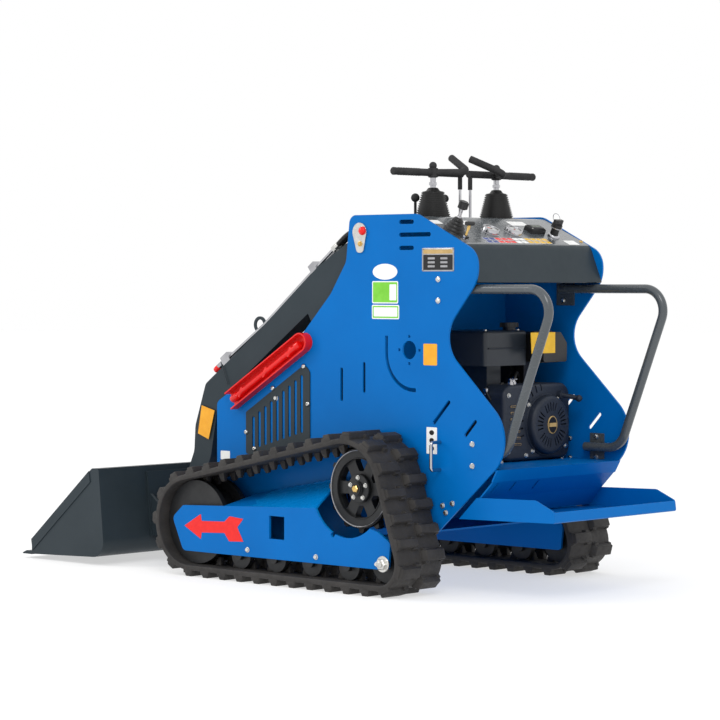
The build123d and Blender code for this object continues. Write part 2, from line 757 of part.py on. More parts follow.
def grille():
    panel = prism(rounded(GRILLE_OUTLINE), PLATE_OUTER_Y, PLATE_OUTER_Y + GRILLE_T)
    # the top and the bottom of each louvre slot rise towards the rear
    for k in range(GRILLE_SLOTS):
        x = 137.0 - GRILLE_PITCH * k
        low = 371.0 + 7.0 * k
        high = 468.0 + 16.0 * k
        shape = Plane.XZ * (Pos(x, (low + high) / 2) * SlotOverall(high - low, 11, rotation=90))
        panel -= Pos(0, PLATE_OUTER_Y + GRILLE_T + 5, 0) * extrude(shape, amount=GRILLE_T + 10)
    return panel


CHANNEL_L = 350.0
CHANNEL_W = 56.0
CHANNEL_H = 28.0
CHANNEL_T = 4.0
CHANNEL_MID = (72.0, 601.0)


def channel_outline(half):
    # straight trough that ends in a half round at its upper rear end
    length = CHANNEL_L
    return make_face(Polyline((-length / 2, -half), (length / 2, -half), (length / 2, half),
                              (-length / 2, half), close=True)) + Pos(-length / 2, 0) * Circle(half)


def lock_channel():
    half = CHANNEL_W / 2
    trough = extrude(channel_outline(half), amount=CHANNEL_H)
    trough -= Pos(0, 0, CHANNEL_T) * extrude(channel_outline(half - CHANNEL_T), amount=CHANNEL_H)
    trough -= block(CHANNEL_L / 2 - 6, CHANNEL_L / 2 + 6, -half + CHANNEL_T, half - CHANNEL_T,
                    CHANNEL_T, CHANNEL_H + 5)
    x, z = CHANNEL_MID
    return Pos(x, PLATE_OUTER_Y, z) * Rot(0, 31, 0) * Rot(-90, 0, 0) * trough


def side_handle():
    y = PLATE_OUTER_Y
    return bar(((-604, y, 346), (-604, y + 38, 346), (-604, y + 38, 423), (-604, y, 423)), 5, 9)


KEEPER_T = 4.0


def arm_pins():
    # pivot pins with teardrop keepers outside the plates, and the lift cylinders' base pins
    pin = y_rod(LIFT_X, LIFT_Z, LIFT_PIN_R, TOWER_Y - 4, PLATE_OUTER_Y + KEEPER_T)
    keeper = y_rod(LIFT_X, LIFT_Z, 27, PLATE_OUTER_Y, PLATE_OUTER_Y + KEEPER_T)
    tail = ((LIFT_X - 26, LIFT_Z - 6), (LIFT_X + 26, LIFT_Z - 6), (LIFT_X + 10, LIFT_Z - 58),
            (LIFT_X - 14, LIFT_Z - 58))
    tail = make_face(Polyline(*tail, close=True))
    tail = fillet(tail.vertices().sort_by(Axis.Y)[:2], 11)
    keeper += prism(tail, PLATE_OUTER_Y, PLATE_OUTER_Y + KEEPER_T)
    base = y_rod(LIFT_BASE[0], LIFT_BASE[1], LIFT_BORE_R, TOWER_Y + TOWER_T, PLATE_INNER_Y)
    return [pin + keeper, base, other_side(pin + keeper), other_side(base)]


# Arm outline seen from the left, as (x, z, corner radius)
ARM_OUTLINE = (
    (-330.0, 965.0, 20.0),
    (-300.0, 1024.0, 0.0),
    (-103.0, 911.0, 60.0),
    (135.0, 728.0, 0.0),
    (375.0, 558.0, 25.0),
    (421.0, 430.0, 60.0),
    (426.0, 352.0, 60.0),
    (456.0, 288.0, 60.0),
    (572.0, 146.0, 0.0),
    (512.0, 90.0, 0.0),
    (385.0, 262.0, 80.0),
    (352.0, 340.0, 60.0),
    (320.0, 503.0, 40.0),
)


# Room inside the arm for the lift rod's eye, from the left, as (x, z, corner radius)
EYE_POCKET = (
    (-182.0, 770.0, 0.0),
    (-182.0, 820.0, 22.0),
    (-140.0, 850.0, 30.0),
    (-72.0, 806.0, 22.0),
    (-72.0, 700.0, 0.0),
)


def arm():
    y0, y1 = ARM_INNER_Y, ARM_OUTER_Y
    beam = prism(rounded(ARM_OUTLINE), y0, y1)
    beam += y_rod(LIFT_X, LIFT_Z, 46, y0, y1)
    beam += y_rod(HINGE_X, HINGE_Z, 42, y0, y1)
    ex, ez = LIFT_EYE
    ear = rounded((
        (ex - 55, ez + 104, 0.0),
        (ex + 55, ez + 26, 0.0),
        (ex + 24, ez - 30, 16.0),
        (ex - 28, ez - 26, 16.0),
    ))
    beam += prism(ear, y0, y0 + EAR_T)
    beam += prism(ear, y1 - EAR_T, y1)
    beam -= prism(rounded(EYE_POCKET), y0 + EAR_T, y1 - EAR_T)
    # the eye's pin passes through both cheeks and stays clear of the rod's own bore
    beam += y_rod(ex, ez, 20, y1, y1 + 5) + y_rod(ex, ez, 20, y0 - 5, y0)
    beam -= y_rod(LIFT_X, LIFT_Z, LIFT_PIN_R + PIN_GAP, y0 - 5, y1 + 5)
    beam -= y_rod(HINGE_X, HINGE_Z, HINGE_PIN_R + PIN_GAP, y0 - 5, y1 + 5)
    return beam


CROSS_X = (325.0, 385.0)
CROSS_Z = (488.0, 548.0)
CROSS_T = 5.0
TILT_EAR_Y = 28.0
LOWER_TUBE = (470.0, 195.0)


def arm_cross():
    x0, x1 = CROSS_X
    z0, z1 = CROSS_Z
    y0 = ARM_INNER_Y
    tube = block(x0, x1, -y0, y0, z0, z1)
    tube -= block(x0 + CROSS_T, x1 - CROSS_T, -y0 - 5, y0 + 5, z0 + CROSS_T, z1 - CROSS_T)
    lower = y_rod(LOWER_TUBE[0], LOWER_TUBE[1], 24, -y0, y0)
    tx, tz = TILT_BASE
    ear = rounded(((x0, z0 + 12, 0), (x1, z0 + 12, 0), (tx + 30, tz, 20), (tx, tz - 30, 20),
                   (tx - 24, tz - 10, 20)))
    ears = prism(ear, TILT_EAR_Y, TILT_EAR_Y + EAR_T) + prism(ear, -TILT_EAR_Y - EAR_T, -TILT_EAR_Y)
    pin = y_rod(tx, tz, LIFT_BORE_R, -TILT_EAR_Y - EAR_T - 6, TILT_EAR_Y + EAR_T + 6)
    return [tube + ears + pin, lower]


PIPE_R = 5.0
PIPE_Y = (ARM_MID_Y - 8.0, ARM_MID_Y + 8.0)
# The pipes' centre line along the arm's upper edge as (x, z)
PIPE_LINE = ((-188.0, 994.0), (-92.0, 921.0), (140.0, 741.0), (302.0, 634.0))
# Clamps that hold the pipes to the arm as (x, length, height)
PIPE_CLAMPS = ((-80.0, 26.0, 32.0), (290.0, 34.0, 34.0))
COUPLER_R = 9.0
RING_X = 152.0
RING_R = 25.0
RING_T = 5.0


def on_arm(x, solid):
    # seats a solid, drawn standing on Z = 0, on the arm's upper edge at x
    rows = ARM_OUTLINE[2:5]
    (x1, z1, _), (x2, z2, _) = rows[:2] if x < rows[1][0] else rows[1:]
    slope = (z2 - z1) / (x2 - x1)
    return Pos(x, ARM_MID_Y, z1 + (x - x1) * slope) * Rot(0, -degrees(atan2(slope, 1)), 0) * solid


def arm_pipes():
    solid = None
    for y in PIPE_Y:
        pipe = bar([(x, y, z) for x, z in PIPE_LINE], PIPE_R, 40)
        solid = pipe if solid is None else solid + pipe
        x, z = PIPE_LINE[-1]
        solid += Pos(x + 20, y, z - 13) * Rot(0, 34, 0) * Rot(0, 90, 0) * Cylinder(COUPLER_R, 46)
    wide = PIPE_Y[1] - PIPE_Y[0] + 22
    for x, length, height in PIPE_CLAMPS:
        solid += on_arm(x, Pos(0, 0, height / 2) * Box(length, wide, height))
    return solid


def lifting_ring():
    # upright ring on a small foot, welded to the arm's upper edge just past its bend
    ring = Cylinder(RING_R, RING_T) - Cylinder(RING_R - 9, RING_T + 2)
    ring = Pos(0, 0, RING_R + 3) * Rot(90, 0, 0) * ring
    return on_arm(RING_X, ring + Pos(0, 0, 4) * Box(26, RING_T, 8))


# Bucket outline seen from the left, as (x, z)
BACK_LOW = (607.0, 31.0)
BACK_TOP = (632.0, 293.0)
FLOOR_FRONT = (949.0, 18.0)
BACK_BEND = 45.0
CHEEK_FRONT_H = 46.0


def bucket():
    path = FilletPolyline(FLOOR_FRONT, BACK_LOW, BACK_TOP, radius=BACK_BEND)
    shell = prism(trace(path, line_width=BUCKET_T), -BUCKET_HALF, BUCKET_HALF)
    low = FLOOR_FRONT[1] - 3
    high = BACK_TOP[1] + 4
    cheek = rounded((
        (BACK_LOW[0] + 3, low + 13, BACK_BEND - 5),
        (FLOOR_FRONT[0], low, 0.0),
        (FLOOR_FRONT[0], low + CHEEK_FRONT_H, 0.0),
        (BACK_TOP[0] + 28, high, 10.0),
        (BACK_TOP[0] + 1, high - 3, 0.0),
    ))
    brace = make_face(Polyline((FLOOR_FRONT[0], low + CHEEK_FRONT_H), (BACK_TOP[0] + 40, high - 9),
                               (BACK_TOP[0] + 34, high - 42), (FLOOR_FRONT[0] - 6, low + 12), close=True))
    for side in (1, -1):
        y0 = BUCKET_HALF - CHEEK_T if side > 0 else -BUCKET_HALF
        shell += prism(cheek, y0, y0 + CHEEK_T)
        shell += prism(brace, min(side * BUCKET_HALF, side * (BUCKET_HALF + 3)),
                       max(side * BUCKET_HALF, side * (BUCKET_HALF + 3)))
    lip = block(BACK_TOP[0], BACK_TOP[0] + 26, -BUCKET_HALF, BUCKET_HALF, BACK_TOP[1] - 7, high)
    return shell + lip


EDGE_L = 44.5
EDGE_T = 11.0


def cutting_edge():
    x = FLOOR_FRONT[0] + EDGE_GAP
    z = FLOOR_FRONT[1] - 5
    outline = rounded(((x, z, 0), (x + EDGE_L, z, 0), (x + EDGE_L, z + 3, 0),
                       (x + EDGE_L - 19, z + EDGE_T, 0), (x, z + EDGE_T, 0)))
    return prism(outline, -BUCKET_HALF, BUCKET_HALF)


QA_T = 8.0
QA_HALF = 270.0
QA_EAR_T = 10.0


def back_x(z):
    # rear face of the bucket's back at height z, less the gap that the plate keeps
    x1, z1 = BACK_LOW
    x2, z2 = BACK_TOP
    lean = hypot(x2 - x1, z2 - z1) / (z2 - z1)
    return x1 + (z - z1) * (x2 - x1) / (z2 - z1) - (BUCKET_T / 2 + QA_GAP) * lean


def quick_attach():
    low, high = 80.0, 280.0
    plate = make_face(Polyline((back_x(low) - QA_T, low), (back_x(low), low), (back_x(high), high),
                               (back_x(high) - QA_T, high), close=True))
    parts = prism(plate, -QA_HALF, QA_HALF)
    ear = rounded(((back_x(84) - 3, 84, 0), (back_x(215) - 3, 215, 0), (585, 190, 25),
                   (HINGE_X - 22, HINGE_Z + 25, 20), (HINGE_X - 22, HINGE_Z - 28, 20),
                   (HINGE_X + 20, HINGE_Z - 38, 0)))
    for y0 in (ARM_OUTER_Y + SIDE_GAP + 2, ARM_INNER_Y - SIDE_GAP - 2 - QA_EAR_T):
        parts += prism(ear, y0, y0 + QA_EAR_T)
        parts += prism(ear, -y0 - QA_EAR_T, -y0)
    pin = y_rod(HINGE_X, HINGE_Z, HINGE_PIN_R, ARM_INNER_Y - 14, ARM_OUTER_Y + 16)
    parts += pin
    parts += other_side(pin)
    tx, tz = TILT_EYE
    top = rounded(((back_x(150) - 3, 150, 0), (back_x(262) - 3, 262, 0), (tx + 1, tz + 25, 20),
                   (tx - 26, tz + 1, 20), (tx - 14, tz - 35, 20)))
    y0 = TILT_EAR_Y
    parts += prism(top, y0, y0 + QA_EAR_T) + prism(top, -y0 - QA_EAR_T, -y0)
    return parts


EYE_GAP = 2.0
GLAND_GAP = 3.0
BORE_START = 34.0
LIFT_RETRACT = 15.0
TILT_RETRACT = 33.0


def cylinder_pair(base, eye, y, radius, rod_radius, eye_half, retract):
    # barrel and rod along the line from the base pin to the rod's eye; retract is how far
    # the rod still moves in from where it stands
    reach = hypot(eye[0] - base[0], eye[1] - base[1])
    angle = degrees(atan2(eye[1] - base[1], eye[0] - base[0]))
    place = Pos(base[0], y, base[1]) * Rot(0, -angle, 0)
    gland = reach - EYE_R - GLAND_GAP - retract
    barrel = x_rod(0, 0, radius, 20, gland) + x_rod(0, 0, radius + 4, gland - 26, gland)
    barrel += y_rod(0, 0, EYE_R + 2, -eye_half, eye_half)
    barrel -= y_rod(0, 0, LIFT_BORE_R + PIN_GAP, -eye_half - 5, eye_half + 5)
    barrel -= x_rod(0, 0, rod_radius + PIN_GAP, BORE_START, gland + 5)
    rod = x_rod(0, 0, rod_radius, BORE_START + 2 + retract, reach - 14)
    rod += y_rod(reach, 0, EYE_R, -eye_half + EYE_GAP, eye_half - EYE_GAP)
    return place * barrel, place * rod


NODES = {}


def add(name, solids):
    if not isinstance(solids, (list, tuple)):
        solids = [solids]
    shape = solids[0] if len(solids) == 1 else Compound(children=list(solids))
    NODES[name] = shape
    export_step(shape, "parts/" + name + ".step")


plate_left = side_plate()
add("side_plate_left", plate_left)
add("side_plate_right", other_side(plate_left))
add("belly_pan", belly_pan())
add("arm_towers", [tower(1), tower(-1)])
add("bay_wall", bay_wall())
add("engine_bed", engine_bed())
add("step_tray", step_tray())
add("front_cowl", cowl())
add("console", console())
add("console_controls", console_controls())
add("lever_boots", [lever_boot(1), lever_boot(-1)])
add("drive_levers", drive_levers())
add("lever_posts", lever_posts())
add("engine_block", engine_block())
add("engine_shroud", engine_shroud())
add("recoil_cover", recoil_cover())
add("fuel_tank", fuel_tank())
add("air_cleaner", air_cleaner())
add("muffler", muffler())
bar_left = grab_bar()
add("grab_bar_left", bar_left)
add("grab_bar_right", other_side(bar_left))
track_left = track()
add("track_left", track_left)
add("track_right", other_side(track_left))
frame_left = track_frame()
add("track_frame_left", frame_left)
add("track_frame_right", other_side(frame_left))
wheels_left = idlers()
add("track_wheels_left", wheels_left)
add("track_wheels_right", [other_side(w) for w in wheels_left])
sprocket_left = sprocket()
add("sprocket_left", sprocket_left)
add("sprocket_right", other_side(sprocket_left))
motor_left = drive_motor()
add("drive_motors", [motor_left, other_side(motor_left)])
grille_left = grille()
add("grille_left", grille_left)
add("grille_right", other_side(grille_left))
add("lock_channel", lock_channel())
add("side_handle", side_handle())
add("arm_pins", arm_pins())
arm_left = arm()
add("arm_left", arm_left)
add("arm_right", other_side(arm_left))
add("arm_cross", arm_cross())
add("arm_pipes", arm_pipes())
add("lifting_ring", lifting_ring())
add("bucket", bucket())
add("cutting_edge", cutting_edge())
add("quick_attach", quick_attach())
lift_pair = cylinder_pair(LIFT_BASE, LIFT_EYE, ARM_MID_Y, LIFT_TUBE_R, LIFT_ROD_R, 20, LIFT_RETRACT)
lift_barrel, lift_rod = lift_pair
add("lift_barrel_left", lift_barrel)
add("lift_barrel_right", other_side(lift_barrel))
add("lift_rod_left", lift_rod)
add("lift_rod_right", other_side(lift_rod))
tilt_barrel, tilt_rod = cylinder_pair(TILT_BASE, TILT_EYE, 0.0, TILT_TUBE_R, TILT_ROD_R, 26, TILT_RETRACT)
add("tilt_barrel", tilt_barrel)
add("tilt_rod", tilt_rod)
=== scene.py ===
from math import acos, atan2, ceil, cos, hypot, pi, radians, sin, tau

import bmesh
import bpy
from mathutils import Matrix, Vector


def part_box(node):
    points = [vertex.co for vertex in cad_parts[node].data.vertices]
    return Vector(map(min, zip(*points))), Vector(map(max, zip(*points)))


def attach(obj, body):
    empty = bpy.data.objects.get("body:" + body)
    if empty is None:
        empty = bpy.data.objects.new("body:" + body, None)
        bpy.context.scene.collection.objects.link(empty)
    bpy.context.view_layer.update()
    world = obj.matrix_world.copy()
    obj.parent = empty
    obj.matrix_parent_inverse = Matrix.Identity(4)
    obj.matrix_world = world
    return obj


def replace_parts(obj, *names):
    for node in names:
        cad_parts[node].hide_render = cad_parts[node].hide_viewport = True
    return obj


# A walk-behind mini skid steer loader, dressed for a studio picture.
# Metres, in the same frame as the model: X forward, Y left, Z up.

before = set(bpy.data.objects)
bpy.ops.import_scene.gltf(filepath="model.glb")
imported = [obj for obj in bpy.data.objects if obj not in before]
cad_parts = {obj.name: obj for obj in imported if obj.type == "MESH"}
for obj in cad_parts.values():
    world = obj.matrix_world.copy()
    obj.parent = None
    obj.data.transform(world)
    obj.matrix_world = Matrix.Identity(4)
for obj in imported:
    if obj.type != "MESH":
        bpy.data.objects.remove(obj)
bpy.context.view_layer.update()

CAMERA_PLACE = Vector((-5.405, 5.640, 0.868))
CAMERA_HEADING = radians(-46.4)
CAMERA_DIP = radians(-1.73)
CAMERA_LENS = 130.0
CAMERA_SENSOR = 36.0
CAMERA_REACH = 200.0

PLATE_Y = 0.276
FRAME_Y = 0.443

# printed films start just inside the surface that carries them
FILM_SEAT = -0.0002
FILM_TOP = 0.0004
THICK_FILM_TOP = 0.0005

ARM_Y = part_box("arm_left")[1].y


# Materials: each one mixes its colour, roughness and surface relief from noise

def new_material(name):
    mat = bpy.data.materials.new(name)
    mat.use_nodes = True
    nodes, links = mat.node_tree.nodes, mat.node_tree.links
    return mat, nodes, links, nodes["Principled BSDF"]


def noise(nodes, links, scale, detail=4.0, rough=0.55, stretch=(1.0, 1.0, 1.0)):
    place = nodes.new("ShaderNodeTexCoord")
    mapping = nodes.new("ShaderNodeMapping")
    mapping.inputs["Scale"].default_value = stretch
    tex = nodes.new("ShaderNodeTexNoise")
    tex.inputs["Scale"].default_value = scale
    tex.inputs["Detail"].default_value = detail
    tex.inputs["Roughness"].default_value = rough
    links.new(place.outputs["Object"], mapping.inputs["Vector"])
    links.new(mapping.outputs["Vector"], tex.inputs["Vector"])
    return tex.outputs["Fac"]


def ramp(nodes, links, fac, low, high, start=0.3, end=0.7):
    mix = nodes.new("ShaderNodeValToRGB")
    mix.color_ramp.elements[0].position = start
    mix.color_ramp.elements[1].position = end
    mix.color_ramp.elements[0].color = (*low, 1.0)
    mix.color_ramp.elements[1].color = (*high, 1.0)
    links.new(fac, mix.inputs["Fac"])
    return mix.outputs["Color"]


def spread(nodes, links, fac, low, high):
    span = nodes.new("ShaderNodeMapRange")
    span.inputs["From Min"].default_value = 0.3
    span.inputs["From Max"].default_value = 0.7
    span.inputs["To Min"].default_value = low
    span.inputs["To Max"].default_value = high
    links.new(fac, span.inputs["Value"])
    return span.outputs["Result"]


def relief(nodes, links, bsdf, fac, strength, distance, edge=0.0):
    bump = nodes.new("ShaderNodeBump")
    bump.inputs["Strength"].default_value = strength
    bump.inputs["Distance"].default_value = distance
    links.new(fac, bump.inputs["Height"])
    if edge:
        # cut edges catch the light along a thin round
        bevel = nodes.new("ShaderNodeBevel")
        bevel.samples = 4
        bevel.inputs["Radius"].default_value = edge
        links.new(bevel.outputs["Normal"], bump.inputs["Normal"])
    links.new(bump.outputs["Normal"], bsdf.inputs["Normal"])


def finish(name, dark, light, rough, metallic=0.0, coat=0.0, broad=6.0, fine=900.0,
           depth=0.0002, strength=0.25, specular=0.5, stretch=(1.0, 1.0, 1.0), edge=0.0):
    # a surface whose colour drifts slowly and whose skin has a fine relief
    mat, nodes, links, bsdf = new_material(name)
    drift = noise(nodes, links, broad, stretch=stretch)
    links.new(ramp(nodes, links, drift, dark, light), bsdf.inputs["Base Color"])
    links.new(spread(nodes, links, noise(nodes, links, broad * 7), *rough), bsdf.inputs["Roughness"])
    relief(nodes, links, bsdf, noise(nodes, links, fine, stretch=stretch), strength, depth, edge)
    bsdf.inputs["Metallic"].default_value = metallic
    bsdf.inputs["Coat Weight"].default_value = coat
    bsdf.inputs["Coat Roughness"].default_value = 0.12
    bsdf.inputs["Specular IOR Level"].default_value = specular
    return mat


BLUE = finish("blue_enamel", (0.0, 0.128, 0.435), (0.0, 0.142, 0.475), (0.30, 0.42), coat=0.02, fine=420.0,
              strength=0.06, specular=0.08, edge=0.0012)
SLATE = finish("slate_enamel", (0.021, 0.031, 0.038), (0.027, 0.038, 0.046), (0.34, 0.48),
               coat=0.03, fine=520.0, strength=0.10, specular=0.18, edge=0.0012)
CHARCOAL = finish("charcoal_enamel", (0.008, 0.009, 0.010), (0.014, 0.015, 0.017), (0.38, 0.55), coat=0.05,
                  fine=700.0, strength=0.2, specular=0.4, edge=0.0010)
RED = finish("red_enamel", (0.66, 0.004, 0.004), (0.78, 0.008, 0.006), (0.28, 0.42), coat=0.25, strength=0.1,
             specular=0.3, edge=0.0010)
RUBBER = finish("track_rubber", (0.018, 0.0165, 0.016), (0.036, 0.033, 0.031), (0.50, 0.72), broad=14.0,
                fine=380.0, depth=0.0007, strength=0.55, specular=0.35, edge=0.0015)
SOFT_RUBBER = finish("boot_rubber", (0.005, 0.005, 0.005), (0.010, 0.010, 0.010), (0.36, 0.52), broad=30.0,
                     fine=800.0, strength=0.25, specular=0.4)
GRIP = finish("grip_foam", (0.016, 0.016, 0.017), (0.028, 0.028, 0.029), (0.62, 0.80), broad=40.0,
              fine=1300.0, depth=0.0006, strength=0.6, specular=0.3)
PLASTIC = finish("black_plastic", (0.006, 0.006, 0.007), (0.011, 0.011, 0.012), (0.34, 0.48), broad=25.0,
                 fine=1500.0, strength=0.3, specular=0.45, edge=0.0006)
CASTING = finish("cast_housing", (0.010, 0.015, 0.027), (0.017, 0.024, 0.040), (0.42, 0.62), broad=30.0,
                 fine=520.0, depth=0.0004, strength=0.40, specular=0.4, edge=0.0012)
TANK = finish("tank_enamel", (0.015, 0.020, 0.028), (0.021, 0.027, 0.036), (0.30, 0.44), coat=0.05,
              fine=520.0, strength=0.1, specular=0.4, edge=0.0012)
STEEL = finish("bare_steel", (0.30, 0.30, 0.31), (0.46, 0.46, 0.48), (0.25, 0.45), metallic=1.0,
               broad=20.0, fine=1100.0, strength=0.12, stretch=(1.0, 0.2, 1.0))
CHROME = finish("chrome", (0.40, 0.40, 0.42), (0.54, 0.54, 0.56), (0.06, 0.16), metallic=1.0, broad=15.0,
                fine=1500.0, strength=0.03)
ZINC = finish("zinc_plate", (0.52, 0.52, 0.50), (0.70, 0.69, 0.66), (0.22, 0.36), metallic=1.0, broad=60.0,
              fine=1200.0, strength=0.1, edge=0.0004)
BRASS = finish("brass", (0.62, 0.40, 0.12), (0.74, 0.52, 0.20), (0.22, 0.36), metallic=1.0, broad=60.0,
               fine=1200.0, strength=0.1)
HOSE = finish("hose_rubber", (0.006, 0.006, 0.006), (0.012, 0.012, 0.011), (0.42, 0.58),
              broad=60.0, fine=2200.0, depth=0.0003, strength=0.5, specular=0.35)
BAR = finish("bar_enamel", (0.052, 0.062, 0.070), (0.070, 0.080, 0.088), (0.20, 0.32), coat=0.25, fine=520.0,
             strength=0.06, specular=0.5)
# the frame's blue enamel made lighter for faces that look up: painted light from above, not a second paint
LIT_FACET_BLUE = finish("lit_facet_blue_enamel", (0.0, 0.190, 0.560), (0.0, 0.215, 0.620), (0.22, 0.34),
                    coat=0.12, fine=420.0, strength=0.06, specular=0.2, edge=0.0012)


def vinyl(name, dark, light, rough=(0.30, 0.42)):
    return finish(name, dark, light, rough, broad=45.0, fine=900.0, strength=0.08, specular=0.35)


WHITE_VINYL = vinyl("white_vinyl", (0.80, 0.81, 0.80), (0.88, 0.88, 0.87))
GREEN_VINYL = vinyl("green_vinyl", (0.16, 0.52, 0.03), (0.20, 0.60, 0.05))
ORANGE_VINYL = vinyl("orange_vinyl", (0.78, 0.33, 0.01), (0.86, 0.40, 0.02))
YELLOW_VINYL = vinyl("yellow_vinyl", (0.70, 0.40, 0.01), (0.80, 0.48, 0.02))
RED_VINYL = vinyl("red_vinyl", (0.72, 0.006, 0.006), (0.82, 0.012, 0.008))
BLUE_VINYL = vinyl("navy_vinyl", (0.010, 0.030, 0.20), (0.016, 0.045, 0.26))
BLACK_VINYL = vinyl("black_vinyl", (0.006, 0.006, 0.007), (0.012, 0.012, 0.013))
GOLD_VINYL = vinyl("gold_vinyl", (0.42, 0.28, 0.10), (0.55, 0.38, 0.16))

# range of upward lean that takes the lighter, painted-light blue
LIT_FACET_LEAN = (0.3, 0.95)

NODE_LOOKS = {
    "side_plate": BLUE, "belly_pan": BLUE, "arm_towers": SLATE, "bay_wall": BLUE, "engine_bed": BLUE,
    "step_tray": BLUE, "front_cowl": SLATE, "console": SLATE, "lever_boots": SOFT_RUBBER,
    "console_controls": PLASTIC, "drive_levers": GRIP, "lever_posts": CHROME, "engine": CASTING,
    "recoil_cover": CASTING, "fuel_tank": TANK, "air_cleaner": PLASTIC, "muffler": CHARCOAL,
    "grab_bar": BAR, "track_left": RUBBER, "track_right": RUBBER, "track_frame": BLUE,
    "track_wheels": CHARCOAL, "sprocket": CHARCOAL, "drive_motors": CHARCOAL, "grille": SLATE,
    "lock_channel": RED, "side_handle": CHROME, "arm_pins": ZINC, "arm": SLATE, "arm_cross": SLATE,
    "arm_pipes": CHROME, "lifting_ring": SLATE, "bucket": SLATE, "cutting_edge": SLATE,
    "quick_attach": SLATE, "lift_barrel": SLATE, "lift_rod": CHROME, "tilt_barrel": SLATE,
    "tilt_rod": CHROME,
}


def look_for(node):
    fits = [key for key in NODE_LOOKS if node.startswith(key)]
    return NODE_LOOKS[max(fits, key=len)]


for node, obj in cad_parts.items():
    obj.data.materials.clear()
    obj.data.materials.append(look_for(node))
    for poly in obj.data.polygons:
        poly.material_index = 0
    if node.startswith("track_frame"):
        # the sloping flats under the plates face the sky and get a lighter blue: painted light from above on
        # the same paint as the rest of the frame
        obj.data.materials.append(LIT_FACET_BLUE)
        for poly in obj.data.polygons:
            if LIT_FACET_LEAN[0] < poly.normal.z < LIT_FACET_LEAN[1]:
                poly.material_index = 1


# Mesh tools

def new_piece(name, bm, body, looks, smooth=35.0):
    bmesh.ops.recalc_face_normals(bm, faces=bm.faces)
    mesh = bpy.data.meshes.new(name)
    bm.to_mesh(mesh)
    bm.free()
    for look in looks:
        mesh.materials.append(look)
    for poly in mesh.polygons:
        poly.use_smooth = True
    mesh.set_sharp_from_angle(angle=radians(smooth))
    obj = bpy.data.objects.new(name, mesh)
    bpy.context.scene.collection.objects.link(obj)
    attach(obj, body)
    return obj


def facing(point, normal, turn=0.0):
    # a frame that stands on a surface with its Z along the normal
    aim = Vector(normal).to_track_quat("Z", "Y").to_matrix().to_4x4()
    return Matrix.Translation(Vector(point)) @ aim @ Matrix.Rotation(turn, 4, "Z")


def side_plane(y, side):
    # drawing plane on a side face: u along X, v along Z, normal away from the middle
    return Matrix(((1, 0, 0, 0), (0, 0, side, y * side), (0, 1, 0, 0), (0, 0, 0, 1)))


def lathe(bm, place, profile, steps=20, mat=0):
    # turns a profile of (radius, height) round the frame's Z
    rings = []
    for radius, height in profile:
        if radius < 1e-7:
            rings.append([bm.verts.new(place @ Vector((0.0, 0.0, height)))])
        else:
            rings.append([bm.verts.new(place @ Vector((radius * cos(tau * k / steps),
                                                       radius * sin(tau * k / steps), height)))
                          for k in range(steps)])
    for a, b in zip(rings, rings[1:]):
        for k in range(steps):
            n = (k + 1) % steps
            if len(a) == 1 and len(b) == 1:
                continue
            if len(a) == 1:
                corners = (a[0], b[k], b[n])
            elif len(b) == 1:
                corners = (a[k], a[n], b[0])
            else:
                corners = (a[k], a[n], b[n], b[k])
            bm.faces.new(corners).material_index = mat


def slab(bm, place, outline, low, high, mat=0, bevel=0.0):
    # a flat shape between two heights of the frame, with its upper rim broken
    base = [bm.verts.new(place @ Vector((u, v, low))) for u, v in outline]
    top = [bm.verts.new(place @ Vector((u, v, high))) for u, v in outline]
    faces = [bm.faces.new(base), bm.faces.new(top)]
    for k in range(len(outline)):
        n = (k + 1) % len(outline)
        faces.append(bm.faces.new((base[k], base[n], top[n], top[k])))
    for face in faces:
        face.material_index = mat
    if bevel:
        rim = [e for e in faces[1].edges]
        bmesh.ops.bevel(bm, geom=rim, offset=bevel, segments=2, affect="EDGES", profile=0.5)


def round_box(u0, u1, v0, v1, radius, steps=4):
    # rectangle with round corners, anticlockwise
    points = []
    for cu, cv, start in ((u1 - radius, v1 - radius, 0), (u0 + radius, v1 - radius, 1),
                          (u0 + radius, v0 + radius, 2), (u1 - radius, v0 + radius, 3)):
        for k in range(steps + 1):
            a = (start + k / steps) * pi / 2
            points.append((cu + radius * cos(a), cv + radius * sin(a)))
    return points


def oval(u, v, ru, rv, steps=32):
    return [(u + ru * cos(tau * k / steps), v + rv * sin(tau * k / steps)) for k in range(steps)]


def smooth_line(points, gap):
    # evenly spaced points on a Catmull-Rom line through the given ones
    points = [Vector(p) for p in points]
    ends = [points[0] * 2 - points[1]] + points + [points[-1] * 2 - points[-2]]
    line = []
    for a, b, c, d in zip(ends, ends[1:], ends[2:], ends[3:]):
        steps = max(1, ceil((c - b).length / gap))
        for k in range(steps):
            t = k / steps
            line.append(0.5 * (2 * b + (c - a) * t + (2 * a - 5 * b + 4 * c - d) * t ** 2
                               + (3 * b - a - 3 * c + d) * t ** 3))
    return line + [points[-1]]


def tube(bm, line, radius, sides=10, mat=0, ripple=0.0):
    # a round tube along a line; ripple swells every other ring, as on a weld or a spiral
    line = [Vector(p) for p in line]
    rings = []
    up = Vector((0.0, 0.0, 1.0))
    for k, point in enumerate(line):
        along = (line[min(k + 1, len(line) - 1)] - line[max(k - 1, 0)]).normalized()
        side = along.cross(up)
        if side.length < 0.1:
            side = along.cross(Vector((0.0, 1.0, 0.0)))
        side.normalize()
        over = side.cross(along)
        r = radius * (1.0 + (ripple if k % 2 else 0.0))
        rings.append([bm.verts.new(point + side * r * cos(tau * j / sides) + over * r * sin(tau * j / sides))
                      for j in range(sides)])
    for a, b in zip(rings, rings[1:]):
        for j in range(sides):
            n = (j + 1) % sides
            bm.faces.new((a[j], a[n], b[n], b[j])).material_index = mat
    bm.faces.new(rings[0]).material_index = mat
    bm.faces.new(rings[-1]).material_index = mat


def bead_line(start, end, steps):
    # evenly spaced points on a straight seam
    return [start.lerp(end, k / steps) for k in range(steps + 1)]


